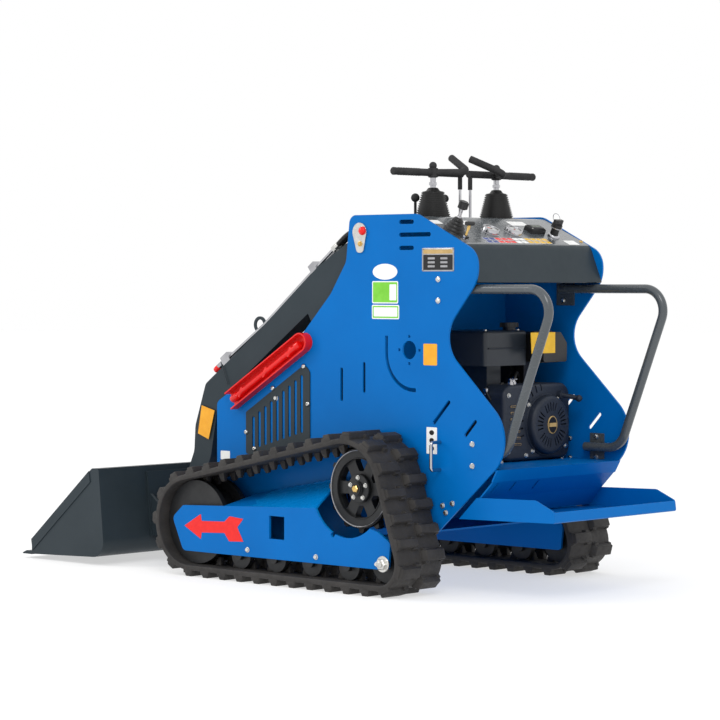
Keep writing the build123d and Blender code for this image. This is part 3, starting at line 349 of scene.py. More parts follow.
def hex_bolt(bm, point, normal, size, mat=0, turn=0.3):
    # pressed washer, six-sided head with a turned chamfer
    place = facing(point, normal, turn)
    lathe(bm, place, ((0.0, -0.0004), (size * 1.22, -0.0004), (size * 1.22, size * 0.16),
                      (size * 1.06, size * 0.24), (0.0, size * 0.24)), 24, mat)
    lathe(bm, place, ((0.0, size * 0.2), (size, size * 0.2), (size, size * 0.72), (size * 0.84, size * 0.86),
                      (0.0, size * 0.86)), 6, mat)


def dome_screw(bm, point, normal, size, mat=0):
    # low round head with a six-sided socket
    place = facing(point, normal)
    lathe(bm, place, ((0.0, -0.0004), (size, -0.0004), (size, size * 0.14), (size * 0.88, size * 0.40),
                      (size * 0.62, size * 0.56), (size * 0.42, size * 0.60), (size * 0.42, size * 0.25),
                      (0.0, size * 0.25)), 18, mat)


# Tracks: one moulded belt with bevelled lugs outside and guide horns inside

TRACK_W = 0.180
TRACK_OUTER_Y = 0.463
TRACK_MID_Y = TRACK_OUTER_Y - TRACK_W / 2
BELT_T = 0.016
LUG_H = 0.018
LUG_COUNT = 33
STEPS_PER_LUG = 8
BELT_EDGE = 0.004
LUG_TAPER = 0.010
LUG_SPLIT = 0.003
LUG_LIP = 0.0015
HORN_SPREAD = 0.022
LOOP = ((0.227, 0.159, 0.125), (-0.405, 0.290, 0.1275), (-0.540, 0.096, 0.062))


def loop_runs():
    normals = []
    for k in range(3):
        x1, z1, r1 = LOOP[k]
        x2, z2, r2 = LOOP[(k + 1) % 3]
        away = hypot(x2 - x1, z2 - z1)
        along = atan2(z2 - z1, x2 - x1)
        normals.append((along - acos((r1 - r2) / away), (away ** 2 - (r1 - r2) ** 2) ** 0.5))
    return [(normals[k - 1][0], (normals[k][0] - normals[k - 1][0]) % tau, normals[k][1]) for k in range(3)]


RUNS = loop_runs()
BELT_LENGTH = sum((LOOP[k][2] + BELT_T / 2) * RUNS[k][1] + RUNS[k][2] for k in range(3))
LUG_PITCH = BELT_LENGTH / LUG_COUNT


def belt_point(s, out):
    # (x, z) at arc length s along the belt's middle, moved out from its inner face
    s = s % BELT_LENGTH
    for (x, z, r), (start, turn, run) in zip(LOOP, RUNS):
        arc = (r + BELT_T / 2) * turn
        if s <= arc:
            a = start + s / (r + BELT_T / 2)
            return x + (r + out) * cos(a), z + (r + out) * sin(a)
        s -= arc
        a = start + turn
        if s <= run:
            return x + (r + out) * cos(a) - s * sin(a), z + (r + out) * sin(a) + s * cos(a)
        s -= run
    return belt_point(0.0, out)


def track_block(bm, s, rows, bevel, side):
    # a moulded block on the belt; rows hold (out, half length along the belt, y low, y high)
    loops = []
    for out, half, y0, y1 in rows:
        ring = []
        for along, y in ((-half, y0), (half, y0), (half, y1), (-half, y1)):
            x, z = belt_point(s + along, out)
            ring.append(bm.verts.new((x, y * side, z)))
        loops.append(ring)
    faces = [bm.faces.new(loops[0]), bm.faces.new(loops[-1])]
    for a, b in zip(loops, loops[1:]):
        for k in range(4):
            n = (k + 1) % 4
            faces.append(bm.faces.new((a[k], a[n], b[n], b[k])))
    edges = {e for f in faces[1:] for e in f.edges if not all(v in loops[0] for v in e.verts)}
    bmesh.ops.bevel(bm, geom=list(edges), offset=bevel, segments=2, affect="EDGES", profile=0.6)


def track(name, side):
    bm = bmesh.new()
    y0, y1 = TRACK_OUTER_Y - TRACK_W, TRACK_OUTER_Y
    edge = BELT_EDGE
    section = ((0.0, y0 + edge), (0.0, TRACK_MID_Y), (0.0, y1 - edge),
               (edge * 0.3, y1 - edge * 0.3), (edge, y1),
               (BELT_T - edge, y1), (BELT_T - edge * 0.3, y1 - edge * 0.3), (BELT_T, y1 - edge),
               (BELT_T, TRACK_MID_Y), (BELT_T, y0 + edge), (BELT_T - edge * 0.3, y0 + edge * 0.3),
               (BELT_T - edge, y0), (edge, y0), (edge * 0.3, y0 + edge * 0.3))
    steps = LUG_COUNT * STEPS_PER_LUG
    rings = []
    for k in range(steps):
        ring = []
        for out, y in section:
            x, z = belt_point(k * BELT_LENGTH / steps, out)
            ring.append(bm.verts.new((x, y * side, z)))
        rings.append(ring)
    for k in range(steps):
        a, b = rings[k], rings[(k + 1) % steps]
        for j in range(len(section)):
            n = (j + 1) % len(section)
            bm.faces.new((a[j], a[n], b[n], b[j]))
    w = LUG_PITCH * 0.5
    for k in range(LUG_COUNT):
        for shift, near, far in ((0.0, TRACK_MID_Y + LUG_SPLIT, y1), (0.5, y0, TRACK_MID_Y - LUG_SPLIT)):
            s = (k + shift) * LUG_PITCH
            a, b = (near, far - LUG_LIP) if shift == 0.0 else (near + LUG_LIP, far)
            cut_a, cut_b = (LUG_TAPER, 0.003) if shift == 0.0 else (0.003, LUG_TAPER)
            rows = ((BELT_T - 0.003, w * 0.44, a, b),
                    (BELT_T + 0.004, w * 0.42, a + cut_a * 0.2, b - cut_b * 0.2),
                    (BELT_T + LUG_H, w * 0.30, a + cut_a, b - cut_b))
            track_block(bm, s, rows, 0.0022, side)
            # shoulder that stiffens the lug towards the belt's middle
            mid = (near + 0.016) if shift == 0.0 else (far - 0.016)
            rows = ((BELT_T - 0.003, w * 0.62, mid - 0.011, mid + 0.011),
                    (BELT_T + LUG_H * 0.62, w * 0.50, mid - 0.008, mid + 0.008))
            track_block(bm, s, rows, 0.0018, side)
            # side wing on the belt's edge
            rim = (far - 0.014, far - 0.0006) if shift == 0.0 else (near + 0.0006, near + 0.014)
            rows = ((BELT_T - 0.002, w * 0.52, *rim), (BELT_T + LUG_H * 0.5, w * 0.44, *rim))
            track_block(bm, s, rows, 0.0016, side)
        for across in (-HORN_SPREAD, HORN_SPREAD):
            y = TRACK_MID_Y + across
            rows = ((0.004, 0.0115, y - 0.009, y + 0.009), (-0.012, 0.0095, y - 0.0075, y + 0.0075),
                    (-0.0235, 0.0060, y - 0.005, y + 0.005))
            track_block(bm, k * LUG_PITCH, rows, 0.0016, side)
    return new_piece(name, bm, "root", [RUBBER], smooth=40.0)


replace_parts(track("rubber_track_left", 1), "track_left")
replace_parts(track("rubber_track_right", -1), "track_right")

SPROCKET = (-0.405, 0.290)
HUB_BOLTS = 5
HUB_BOLT_RING = 0.0305


def sprocket_trim(name, side):
    # turned ring on the rim, bolts on the hub and the axle's nut
    bm = bmesh.new()
    x, z = SPROCKET
    y = (TRACK_MID_Y + 0.0195) * side
    place = facing((x, y, z), (0, side, 0))
    lathe(bm, place, ((0.0835, -0.009), (0.0835, 0.0), (0.1120, 0.0), (0.1135, -0.009)), 72, 1)
    lathe(bm, place, ((0.1055, 0.0), (0.1060, 0.003), (0.1075, 0.0042), (0.1090, 0.003),
                      (0.1095, 0.0)), 72, 0)
    lathe(bm, place, ((0.0835, 0.0), (0.0840, 0.0022), (0.0860, 0.0022), (0.0865, 0.0)), 72, 1)
    hub = facing((x, (TRACK_MID_Y + 0.0218) * side, z), (0, side, 0))
    lathe(bm, hub, ((0.040, -0.004), (0.039, 0.0015), (0.030, 0.003), (0.022, 0.003), (0.020, 0.0085),
                    (0.0, 0.0085)), 40, 1)
    for k in range(HUB_BOLTS):
        a = tau * k / HUB_BOLTS + 0.3
        spot = (x + HUB_BOLT_RING * cos(a), (TRACK_MID_Y + 0.0245) * side, z + HUB_BOLT_RING * sin(a))
        hex_bolt(bm, spot, (0, side, 0), 0.0055, 2)
    lathe(bm, hub, ((0.0, 0.008), (0.011, 0.008), (0.011, 0.016), (0.009, 0.018), (0.0, 0.018)), 6, 3)
    return new_piece(name, bm, "root", [STEEL, CHARCOAL, ZINC, BRASS])


sprocket_trim("sprocket_trim_left", 1)
sprocket_trim("sprocket_trim_right", -1)


def frame_trim(name, side):
    # heads of the roller bolts, the rear idler's axle nut and the red travel arrow
    bm = bmesh.new()
    for x, z in ((-0.008, 0.094), (-0.285, 0.093)):
        hex_bolt(bm, (x, FRAME_Y * side, z), (0, side, 0), 0.0065, 0)
    axle = facing((-0.544, FRAME_Y * side, 0.092), (0, side, 0))
    lathe(bm, axle, ((0.0, -0.0005), (0.023, -0.0005), (0.023, 0.003), (0.0215, 0.0045),
                     (0.0, 0.0045)), 40, 0)
    lathe(bm, axle, ((0.0, 0.004), (0.0165, 0.004), (0.0165, 0.012), (0.0140, 0.0145), (0.0, 0.0145)), 6, 0)
    lathe(bm, axle, ((0.0, 0.012), (0.0085, 0.012), (0.0085, 0.0175), (0.007, 0.0185), (0.0, 0.0185)), 20, 0)
    hex_bolt(bm, (-0.519, FRAME_Y * side, 0.090), (0, side, 0), 0.0055, 0)
    plane = side_plane(FRAME_Y, side)
    arrow = ((0.260, 0.147), (0.190, 0.185), (0.186, 0.165), (0.089, 0.169), (0.067, 0.186), (0.010, 0.182),
             (0.035, 0.156), (0.010, 0.116), (0.069, 0.113), (0.089, 0.136), (0.186, 0.131), (0.190, 0.112))
    slab(bm, plane, arrow, -0.0003, 0.0005, 1)
    return new_piece(name, bm, "root", [ZINC, RED_VINYL])


frame_trim("track_frame_trim_left", 1)
frame_trim("track_frame_trim_right", -1)


# Side plates: fasteners, stickers and the rating plate

PLATE_BOLTS = (
    (-0.596, 0.874), (-0.596, 0.815), (-0.722, 0.422), (-0.722, 0.362), (-0.649, 0.255), (-0.613, 0.247),
    (-0.625, 0.228), (0.044, 0.525),
)
GRILLE_SCREWS = ((-0.073, 0.621), (0.055, 0.554), (-0.090, 0.512), (0.168, 0.420), (0.133, 0.372),
                 (0.033, 0.374))


def plate_trim(name, side):
    bm = bmesh.new()
    for x, z in PLATE_BOLTS:
        hex_bolt(bm, (x, PLATE_Y * side, z), (0, side, 0), 0.0066, 0, turn=x * 9)
    for x, z in GRILLE_SCREWS:
        dome_screw(bm, (x, (PLATE_Y + 0.003) * side, z), (0, side, 0), 0.0072, 0)
    return new_piece(name, bm, "root", [ZINC])


plate_trim("plate_bolts_left", 1)
plate_trim("plate_bolts_right", -1)


def stickers():
    # plain printed films: no words or signs on them
    bm = bmesh.new()
    plane = side_plane(PLATE_Y, 1)
    slab(bm, plane, oval(-0.3945, 0.8955, 0.0475, 0.0225), FILM_SEAT, FILM_TOP, 0)
    slab(bm, plane, round_box(-0.445, -0.345, 0.806, 0.869, 0.004), FILM_SEAT, FILM_TOP, 0)
    slab(bm, plane, round_box(-0.442, -0.348, 0.809, 0.866, 0.003), 0.0, FILM_TOP + 0.0001, 1)
    slab(bm, plane, round_box(-0.438, -0.412, 0.815, 0.860, 0.002), 0.0, FILM_TOP + 0.0002, 0)
    slab(bm, plane, round_box(-0.449, -0.344, 0.762, 0.802, 0.004), FILM_SEAT, FILM_TOP, 0)
    slab(bm, plane, round_box(-0.446, -0.347, 0.765, 0.799, 0.003), 0.0, FILM_TOP + 0.0001, 1)
    slab(bm, plane, round_box(-0.442, -0.351, 0.769, 0.795, 0.002), 0.0, FILM_TOP + 0.0002, 0)
    slab(bm, plane, round_box(-0.592, -0.541, 0.635, 0.695, 0.003), FILM_SEAT, FILM_TOP, 2)
    slab(bm, plane, round_box(0.241, 0.281, 0.334, 0.360, 0.002), FILM_SEAT, FILM_TOP, 0)
    slab(bm, plane, round_box(0.241, 0.281, 0.318, 0.328, 0.002), FILM_SEAT, FILM_TOP, 0)
    slab(bm, plane, round_box(-0.592, -0.553, 0.389, 0.463, 0.002), FILM_SEAT, FILM_TOP, 0)
    for z in (0.404, 0.426, 0.448):
        slab(bm, plane, oval(-0.5725, z, 0.009, 0.007, 20), 0.0, FILM_TOP + 0.0002, 3)
    return new_piece("side_stickers", bm, "root", [WHITE_VINYL, GREEN_VINYL, ORANGE_VINYL, BLACK_VINYL])


stickers()


def rating_plate():
    # bare metal plate with blank fields, held by four rivets
    bm = bmesh.new()
    plane = side_plane(PLATE_Y, 1)
    slab(bm, plane, round_box(-0.655, -0.536, 0.896, 0.961, 0.003), FILM_SEAT, 0.0010, 0, 0.0003)
    slab(bm, plane, round_box(-0.650, -0.541, 0.900, 0.942, 0.002), 0.0005, 0.0012, 1)
    slab(bm, plane, round_box(-0.650, -0.541, 0.945, 0.957, 0.002), 0.0005, 0.0012, 2)
    for u in (-0.618, -0.571):
        for v in (0.910, 0.921, 0.932):
            slab(bm, plane, round_box(u - 0.013, u + 0.013, v - 0.0028, v + 0.0028, 0.001), 0.001, 0.0014, 0)
    for u in (-0.652, -0.539):
        for v in (0.899, 0.958):
            dome_screw(bm, (u, PLATE_Y + 0.001, v), (0, 1, 0), 0.0024, 0)
    return new_piece("rating_plate", bm, "root", [STEEL, BLACK_VINYL, GOLD_VINYL])


rating_plate()


def keeper_trim(name, side):
    # the arm pivot's grease cap and lock bolt
    bm = bmesh.new()
    y = (PLATE_Y + 0.004) * side
    cap = facing((-0.310, y, 1.012), (0, side, 0))
    lathe(bm, cap, ((0.0, -0.0005), (0.0125, -0.0005), (0.0125, 0.002), (0.010, 0.006), (0.005, 0.0085),
                    (0.0, 0.009)), 28, 0)
    hex_bolt(bm, (-0.301, y, 0.975), (0, side, 0), 0.0065, 1)
    return new_piece(name, bm, "root", [RED_VINYL, BRASS])


keeper_trim("keeper_trim_left", 1)
keeper_trim("keeper_trim_right", -1)


def lock_bar():
    # the lock bar that lies in the red channel, with its collars and lower clip
    bm = bmesh.new()
    lean = radians(-31)
    mid = Vector((0.072, 0.0, 0.601))
    along = Vector((cos(lean), 0.0, sin(lean)))
    y = PLATE_Y + 0.015
    ends = [mid + along * t for t in (-0.165, 0.166)]
    place = facing((ends[0].x, y, ends[0].z), along)
    length = (ends[1] - ends[0]).length
    lathe(bm, place, ((0.0, 0.0), (0.0100, 0.0), (0.0120, 0.003), (0.0120, 0.018), (0.0085, 0.020),
                      (0.0085, length - 0.030), (0.0115, length - 0.028), (0.0115, length - 0.004),
                      (0.0095, length), (0.0, length)), 20, 0)
    for t in (-0.120, 0.0, 0.120):
        spot = mid + along * t
        hold = facing((spot.x, PLATE_Y + 0.004, spot.z), (0, 1, 0), lean)
        slab(bm, hold, round_box(-0.006, 0.006, -0.0165, 0.0165, 0.004), -0.0005, 0.018, 0, 0.001)
    return new_piece("lock_bar", bm, "root", [RED])


lock_bar()


# Console: dials, labels, bright parts and the levers on the sloping dash

DASH_TOP = (-0.525, 1.048)
DASH_LOW = (-0.695, 0.968)
DASH_LEAN = atan2(DASH_TOP[1] - DASH_LOW[1], DASH_TOP[0] - DASH_LOW[0])
DASH_HALF_T = 0.0025
DASH_RISE = 0.00026
# faces that look up more than this take the lighter slate that paints in the sheen from above
LIT_FACES_UP = 0.8
DECK_TOP_Z = 1.0505


def on_dash(x, y, lift=0.0):
    # frame on the dash: X up the slope, Y left, Z out of the sheet
    z = DASH_TOP[1] + (x - DASH_TOP[0]) * sin(DASH_LEAN) / cos(DASH_LEAN)
    c, s = cos(DASH_LEAN), sin(DASH_LEAN)
    seat = DASH_HALF_T + lift
    return Matrix(((c, 0, -s, x - s * seat), (0, 1, 0, y),
                   (s, 0, c, z + c * seat + DASH_RISE), (0, 0, 0, 1)))


DIAL = vinyl("dial_face", (0.44, 0.45, 0.44), (0.52, 0.53, 0.52), (0.10, 0.16))
DISPLAY = vinyl("meter_window", (0.16, 0.19, 0.15), (0.21, 0.24, 0.19), (0.10, 0.18))
# the console's slate with more coat and specular, and a lighter base colour that is a painted sheen from the
# light above
LIT_DASH_SLATE = finish("console_top_painted_sheen", (0.060, 0.070, 0.078), (0.080, 0.091, 0.100), (0.20, 0.34),
                    coat=0.5, fine=520.0, strength=0.10, specular=0.8, edge=0.0012)

GAUGES = ((-0.621, 0.088, 0.9), (-0.622, -0.012, 2.3))


def gauges():
    bm = bmesh.new()
    for x, y, needle in GAUGES:
        place = on_dash(x, y)
        lathe(bm, place, ((0.0275, 0.0), (0.0275, 0.002), (0.0256, 0.003), (0.0256, 0.0115),
                          (0.0240, 0.0150), (0.0215, 0.0160), (0.0196, 0.0150), (0.0192, 0.0125)), 40, 0)
        lathe(bm, place, ((0.0, 0.0126), (0.0197, 0.0126), (0.0197, 0.0120), (0.0, 0.0120)), 40, 1)
        for k in range(9):
            a = radians(-120 + 30 * k)
            tick = place @ Matrix.Rotation(a, 4, "Z") @ Matrix.Translation((0.0155, 0.0, 0.0126))
            slab(bm, tick, ((-0.002, -0.0005), (0.002, -0.0005), (0.002, 0.0005),
                            (-0.002, 0.0005)), 0.0, 0.0003, 2)
        hand = place @ Matrix.Rotation(needle, 4, "Z") @ Matrix.Translation((0.0, 0.0, 0.0128))
        slab(bm, hand, ((-0.003, -0.0011), (0.0135, -0.0003), (0.0135, 0.0003), (-0.003, 0.0011)),
             0.0, 0.0008, 3)
        lathe(bm, place, ((0.0, 0.0142), (0.0022, 0.0140), (0.0028, 0.0128), (0.0, 0.0128)), 16, 2)
    return new_piece("dash_gauges", bm, "root", [CHROME, DIAL, BLACK_VINYL, RED_VINYL])


def meter_face():
    bm = bmesh.new()
    place = on_dash(-0.610, -0.121)
    slab(bm, place, round_box(-0.0125, 0.0125, -0.0245, 0.0245, 0.003), 0.0155, 0.0166, 0, 0.0004)
    slab(bm, place, round_box(-0.0020, 0.0070, -0.0180, 0.0180, 0.001), 0.0160, 0.0169, 1)
    for k in range(5):
        v = -0.0144 + 0.0072 * k
        slab(bm, place, round_box(-0.0008, 0.0058, v - 0.0026, v + 0.0026, 0.0006), 0.0165, 0.0171, 2)
    for v in (-0.026, 0.026):
        dome_screw(bm, place @ Vector((-0.0100, v, 0.0152)), place.col[2].xyz, 0.0020, 3)
    return new_piece("hour_meter_face", bm, "root", [PLASTIC, BLACK_VINYL, DISPLAY, ZINC])


def key_and_throttle():
    # bright collar and key ring; brass throttle stem; the joystick's polished stem
    bm = bmesh.new()
    place = on_dash(-0.638, -0.172)
    lathe(bm, place, ((0.0182, 0.0), (0.0182, 0.004), (0.0165, 0.0065), (0.0135, 0.0075),
                      (0.0125, 0.0060)), 32, 0)
    lathe(bm, place, ((0.0122, 0.0250), (0.0166, 0.0262), (0.0166, 0.0290), (0.0122, 0.0300)), 32, 1)
    hang = place @ Matrix.Translation((0.004, 0.010, 0.0560)) @ Matrix.Rotation(radians(75), 4, "X")
    ring = [hang @ Vector((0.0135 * cos(tau * k / 28), 0.0135 * sin(tau * k / 28), 0.0)) for k in range(29)]
    tube(bm, ring, 0.0009, 8, 0)
    throttle = on_dash(-0.667, 0.248)
    lathe(bm, throttle, ((0.0110, 0.0), (0.0110, 0.003), (0.0075, 0.005), (0.0075, 0.0125)), 6, 0)
    lathe(bm, throttle, ((0.0034, 0.0120), (0.0034, 0.0300), (0.0048, 0.0305), (0.0048, 0.0390),
                         (0.0034, 0.0395), (0.0034, 0.0430)), 16, 2)
    stick = on_dash(-0.617, 0.234)
    lathe(bm, stick, ((0.0044, 0.0380), (0.0044, 0.0690)), 18, 0)
    lathe(bm, stick, ((0.0060, 0.0400), (0.0066, 0.0430), (0.0060, 0.0460), (0.0044, 0.0462)), 18, 0)
    for k in range(4):
        h = 0.006 + 0.009 * k
        r = 0.0325 - (h / 0.040) * 0.021
        lathe(bm, stick, ((r - 0.0015, h - 0.0022), (r + 0.0016, h), (r - 0.0022, h + 0.0024)), 28, 3)
    dome_screw(bm, on_dash(-0.668, -0.262).col[3].xyz, on_dash(0, 0).col[2].xyz, 0.0055, 2)
    return new_piece("dash_bright_parts", bm, "root", [CHROME, STEEL, BRASS, SOFT_RUBBER], 40.0)


STRIP_COLOURS = (0, 0, 1, 1, 1, 2, 2, 3, 3, 3, 3)


def dash_labels():
    # plain coloured squares in two rows, and blank white films
    bm = bmesh.new()
    for row, x in enumerate((-0.6605, -0.6780)):
        for k, colour in enumerate(STRIP_COLOURS):
            y = 0.150 - 0.0255 * k + 0.004 * row
            place = on_dash(x, y)
            slab(bm, place, round_box(-0.0076, 0.0076, -0.0108, 0.0108, 0.0015), FILM_SEAT,
                 THICK_FILM_TOP, 2)
            slab(bm, place, round_box(-0.0068, 0.0068, -0.0100, 0.0100, 0.0012), 0.0, 0.0007, colour)
    for x, y, half_x, half_y in ((-0.561, 0.250, 0.012, 0.020), (-0.562, 0.128, 0.014, 0.024),
                                 (-0.560, -0.103, 0.014, 0.036), (-0.676, -0.207, 0.014, 0.024)):
        slab(bm, on_dash(x, y), round_box(-half_x, half_x, -half_y, half_y, 0.002), FILM_SEAT,
             THICK_FILM_TOP, 2)
    return new_piece("dash_labels", bm, "root", [BLUE_VINYL, RED_VINYL, WHITE_VINYL, YELLOW_VINYL])


LEVER = (-0.452, 0.138)
GRIP_Z = 1.177


def lever_trim(name, side):
    # polished stem above the bellows, clamp collar and the bar's rounded end cap
    bm = bmesh.new()
    x, y = LEVER[0], LEVER[1] * side
    stem = Matrix.Translation((x, y, DECK_TOP_Z))
    lathe(bm, stem, ((0.0320, 0.0715), (0.0200, 0.0750), (0.0140, 0.0830), (0.0105, 0.0840)), 32, 1)
    lathe(bm, stem, ((0.0084, 0.0730), (0.0084, 0.1150)), 24, 0)
    lathe(bm, stem, ((0.0084, 0.0900), (0.0118, 0.0910), (0.0118, 0.0990), (0.0084, 0.1000)), 6, 0)
    lathe(bm, stem, ((0.0084, 0.1120), (0.0145, 0.1140), (0.0150, 0.1265), (0.0145, 0.1390),
                     (0.0090, 0.1410)), 24, 2)
    end = Vector((x, (LEVER[1] + 0.167) * side, GRIP_Z))
    lathe(bm, facing(end, (0, side, 0)), ((0.0108, -0.010), (0.0112, -0.001), (0.0095, 0.0015),
                                          (0.0, 0.0022)), 24, 2)
    for k in range(9):
        ring = facing((x, (LEVER[1] + 0.060 + 0.0105 * k) * side, GRIP_Z), (0, side, 0))
        lathe(bm, ring, ((0.0104, -0.0022), (0.0112, -0.0010), (0.0112, 0.0010), (0.0104, 0.0022)), 24, 2)
    return new_piece(name, bm, "root", [CHROME, SOFT_RUBBER, GRIP], 40.0)


gauges()
meter_face()
key_and_throttle()
dash_labels()
lever_trim("lever_trim_left", 1)
lever_trim("lever_trim_right", -1)
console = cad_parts["console"]
console.data.materials.append(LIT_DASH_SLATE)
# up-facing faces get the glossier slate whose lighter colour is painted sheen
for poly in console.data.polygons:
    if poly.normal.z > LIT_FACES_UP:
        poly.material_index = 1


# Engine: blank badge, bolts, ribs, lines, tank cap and the yellow film on the air cleaner

ENGINE_X = -0.640
RECOIL = (-0.137, 0.457)
TANK_CAP = (-0.546, -0.086)
TANK_SEAM_Z = 0.678
CAP_RIBS = 24
BLOWER_RIBS = 7
BED_TOP_Z = 0.3545


def rear_frame(x, y, z):
    # frame on a face that looks to the rear: X to the machine's right, Y up, Z rearwards
    return Matrix(((0, 0, -1, x), (-1, 0, 0, y), (0, 1, 0, z), (0, 0, 0, 1)))


def engine_trim():
    bm = bmesh.new()
    y, z = RECOIL
    face = rear_frame(ENGINE_X - 0.027, y, z)
    slab(bm, face, oval(0.0, 0.0, 0.0205, 0.0255), -0.0022, 0.0006, 0, 0.0004)
    slab(bm, face, oval(0.0, 0.0, 0.0180, 0.0230), 0.0002, 0.0010, 1)
    slab(bm, face, round_box(-0.0165, 0.0165, -0.0055, 0.0055, 0.001), 0.0006, 0.0013, 0)
    for k in range(4):
        a = radians(38 + 90 * k)
        spot = (ENGINE_X, y + 0.094 * cos(a), z + 0.094 * sin(a))
        hex_bolt(bm, spot, (-1, 0, 0), 0.0056, 2)
    for by, bz in ((0.028, 0.385), (0.026, 0.545), (-0.228, 0.392), (-0.050, 0.372)):
        hex_bolt(bm, (ENGINE_X, by, bz), (-1, 0, 0), 0.0056, 2)
    # ribs on the blower housing's left half
    for k in range(BLOWER_RIBS):
        rib = rear_frame(ENGINE_X, -0.010, 0.405 + 0.018 * k)
        slab(bm, rib, round_box(-0.030, 0.018 - 0.003 * k, -0.0028, 0.0028, 0.0025), -0.001,
             0.0030, 3, 0.0008)
    # pressed ring round the starter cover
    ring = rear_frame(ENGINE_X, y, z)
    lathe(bm, ring, ((0.0845, 0.0), (0.0845, 0.004), (0.0885, 0.004), (0.0900, 0.0)), 64, 3)
    return new_piece("engine_trim", bm, "root", [GOLD_VINYL, BLACK_VINYL, ZINC, CASTING])


def engine_lines():
    # spark lead and fuel line, each held at both ends, and the fuel tap
    bm = bmesh.new()
    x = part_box("engine_shroud")[0].x
    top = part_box("engine_shroud")[1].z
    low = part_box("fuel_tank")[0].z
    lead = smooth_line(((x + 0.030, -0.030, top - 0.004), (x + 0.028, -0.036, top + 0.022),
                        (x + 0.050, -0.070, top + 0.032), (x + 0.080, -0.110, top + 0.020),
                        (x + 0.092, -0.130, top - 0.006)), 0.006)
    tube(bm, lead, 0.0038, 10, 0)
    fuel = smooth_line(((x + 0.062, 0.052, low + 0.006), (x + 0.056, 0.054, low - 0.012),
                        (x + 0.045, 0.036, low - 0.034), (x + 0.040, 0.010, top + 0.002),
                        (x + 0.042, 0.000, top - 0.008)), 0.006)
    tube(bm, fuel, 0.0045, 10, 0)
    for spot, aim in (((x + 0.062, 0.052, low + 0.002), (0, 0, -1)),
                      ((x + 0.030, -0.030, top - 0.001), (0, 0, 1))):
        lathe(bm, facing(spot, aim), ((0.0, -0.002), (0.0085, -0.002), (0.0085, 0.006), (0.0060, 0.010),
                                      (0.0060, 0.016), (0.0, 0.016)), 20, 1)
    # fuel tap with its lever
    tap = facing((x + 0.014, 0.000, top - 0.001), (0, 0, 1))
    lathe(bm, tap, ((0.0, 0.0), (0.009, 0.0), (0.009, 0.008), (0.006, 0.012), (0.006, 0.018),
                    (0.0, 0.018)), 6, 1)
    lever = tap @ Matrix.Translation((0, 0, 0.016))
    slab(bm, lever, round_box(-0.004, 0.022, -0.004, 0.004, 0.003), 0.0, 0.003, 1, 0.0006)
    return new_piece("engine_lines", bm, "root", [HOSE, CHROME], 40.0)


def engine_top():
    # yellow film on the air cleaner, and the tank's seam, bolts and ribbed cap
    bm = bmesh.new()
    film = rear_frame(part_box("air_cleaner")[0].x, 0.0, 0.0)
    slab(bm, film, ((0.070, 0.722), (0.074, 0.662), (0.180, 0.662), (0.180, 0.722)), FILM_SEAT,
         THICK_FILM_TOP, 0)
    tank_low, tank_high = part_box("fuel_tank")
    cap = Matrix.Translation((TANK_CAP[0], TANK_CAP[1], tank_high.z - 0.014))
    for k in range(CAP_RIBS):
        rib = cap @ Matrix.Rotation(tau * k / CAP_RIBS, 4, "Z") @ Matrix.Translation((0.0262, 0.0, 0.0))
        slab(bm, rib, ((-0.001, -0.0014), (0.0012, -0.0009), (0.0012, 0.0009), (-0.001, 0.0014)),
             0.0008, 0.0125, 1)
    start = Vector((tank_low.x - 0.0012, 0.070, TANK_SEAM_Z))
    end = Vector((tank_low.x - 0.0012, -0.088, TANK_SEAM_Z))
    tube(bm, bead_line(start, end, 24), 0.0022, 8, 2)
    for by in (0.062, -0.080):
        hex_bolt(bm, (tank_low.x + 0.018, by, tank_high.z - 0.0225), (0, 0, 1), 0.0055, 3)
    return new_piece("engine_top_trim", bm, "root", [YELLOW_VINYL, PLASTIC, TANK, ZINC])


engine_trim()
engine_lines()
engine_top()


def bed_bolts():
    # engine feet, bracket bolts of the grab bars and the tray's upper fasteners
    bm = bmesh.new()
    for x in (-0.622, -0.480):
        for y in (0.040, -0.232):
            hex_bolt(bm, (x, y, BED_TOP_Z), (0, 0, 1), 0.0075, 0)
    for x, z in ((-0.598, 0.873), (-0.602, 0.813), (-0.725, 0.420), (-0.725, 0.361)):
        for side in (1, -1):
            hex_bolt(bm, (x, 0.264 * side, z), (0, -side, 0), 0.0062, 0)
    for x, z in ((-0.624, 0.411), (-0.624, 0.354)):
        for side in (1, -1):
            hex_bolt(bm, (x, 0.270 * side, z), (0, -side, 0), 0.0062, 0)
    return new_piece("bay_bolts", bm, "root", [ZINC])


bed_bolts()


# Arms: hoses above the pipes, red end caps, plain film, weld seams

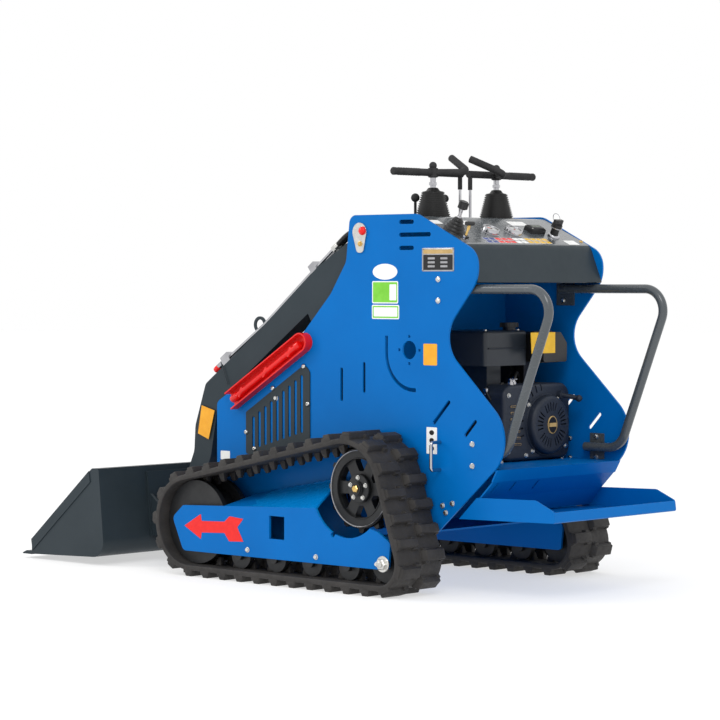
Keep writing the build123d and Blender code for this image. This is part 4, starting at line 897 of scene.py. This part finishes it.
def arm_trim():
    bm = bmesh.new()
    mid = (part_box("arm_left")[0].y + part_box("arm_left")[1].y) / 2
    for across in (-0.008, 0.008):
        y = mid + across
        hose = smooth_line(((-0.268, y, 0.996), (-0.246, y, 1.010), (-0.218, y, 1.010), (-0.190, y, 0.9955),
                            (-0.160, y, 0.9725)), 0.006)
        tube(bm, hose, 0.0072, 12, 0)
        fit = facing((-0.160, y, 0.9725), (0.79, 0.0, -0.61))
        lathe(bm, fit, ((0.0, -0.006), (0.0082, -0.006), (0.0082, 0.008), (0.0, 0.008)), 24, 1)
        lathe(bm, fit, ((0.0, 0.008), (0.0092, 0.008), (0.0092, 0.020), (0.0, 0.020)), 6, 1)
        cap = facing((0.343, y, 0.6055), (0.80, 0.0, -0.60))
        lathe(bm, cap, ((0.0, -0.010), (0.0085, -0.010), (0.0098, -0.004), (0.0098, 0.010), (0.0080, 0.013),
                        (0.0, 0.013)), 20, 2)
    plane = side_plane(ARM_Y, 1)
    slab(bm, plane, ((0.387, 0.492), (0.330, 0.478), (0.357, 0.390), (0.404, 0.406)), FILM_SEAT,
         THICK_FILM_TOP, 3)
    for side in (1, -1):
        start = Vector((0.302, ARM_Y * side, 0.625))
        end = Vector((0.272, ARM_Y * side, 0.557))
        tube(bm, bead_line(start, end, 30), 0.0013, 8, 4, ripple=0.25)
    return new_piece("arm_trim", bm, "arm", [HOSE, ZINC, RED_VINYL, ORANGE_VINYL, SLATE],
                     40.0)


arm_trim()


def bucket_welds():
    # weld beads inside the bucket, along the floor at both side walls
    bm = bmesh.new()
    low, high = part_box("bucket")
    for side in (1, -1):
        y = (high.y - 0.0085) * side
        start = Vector((0.665, y, low.z + 0.0145))
        end = Vector((0.930, y, low.z + 0.0110))
        tube(bm, bead_line(start, end, 110), 0.0030, 8, 0, ripple=0.18)
    return new_piece("bucket_welds", bm, "bucket", [SLATE], 50.0)


bucket_welds()


# Stage: floor, soft lights and the camera

FLOOR_SIZE = 60.0
FLOOR_GLOW = 0.56
KEY_POWER = 90.0
RIM_POWER = 60.0


def floor():
    bpy.ops.mesh.primitive_plane_add(size=FLOOR_SIZE, location=(0.0, 0.0, 0.0))
    ground = bpy.context.object
    ground.name = "studio_floor"
    mat, nodes, links, bsdf = new_material("studio_floor")
    shade = ramp(nodes, links, noise(nodes, links, 1.5), (0.44, 0.44, 0.44), (0.46, 0.46, 0.46))
    links.new(shade, bsdf.inputs["Base Color"])
    bsdf.inputs["Roughness"].default_value = 0.9
    bsdf.inputs["Emission Color"].default_value = (1.0, 1.0, 1.0, 1.0)
    bsdf.inputs["Emission Strength"].default_value = FLOOR_GLOW
    bsdf.inputs["Specular IOR Level"].default_value = 0.1
    ground.data.materials.append(mat)


def area_light(name, place, aim, size, power, tint=(1.0, 1.0, 1.0)):
    data = bpy.data.lights.new(name, "AREA")
    data.shape = "RECTANGLE"
    data.size, data.size_y = size
    data.energy = power
    data.color = tint
    lamp = bpy.data.objects.new(name, data)
    lamp.location = place
    lamp.rotation_euler = (Vector(aim) - Vector(place)).to_track_quat("-Z", "Y").to_euler()
    bpy.context.scene.collection.objects.link(lamp)


def studio():
    bpy.context.scene.view_settings.view_transform = "Standard"
    world = bpy.data.worlds.new("studio")
    world.use_nodes = True
    world.node_tree.nodes["Background"].inputs["Color"].default_value = (1.0, 1.0, 1.0, 1.0)
    world.node_tree.nodes["Background"].inputs["Strength"].default_value = 1.0
    bpy.context.scene.world = world
    area_light("key", (-3.6, 3.2, 4.4), (0.0, 0.0, 0.5), (2.0, 2.0), KEY_POWER)
    area_light("rim", (3.5, 3.0, 3.2), (0.3, 0.0, 0.5), (1.2, 2.0), RIM_POWER)


def camera():
    data = bpy.data.cameras.new("camera")
    data.lens = CAMERA_LENS
    data.sensor_width = CAMERA_SENSOR
    data.clip_end = CAMERA_REACH
    eye = bpy.data.objects.new("camera", data)
    look = Vector((cos(CAMERA_HEADING) * cos(CAMERA_DIP), sin(CAMERA_HEADING) * cos(CAMERA_DIP),
                   sin(CAMERA_DIP)))
    eye.location = CAMERA_PLACE
    eye.rotation_euler = look.to_track_quat("-Z", "Y").to_euler()
    bpy.context.scene.collection.objects.link(eye)
    bpy.context.scene.camera = eye


floor()
studio()
camera()
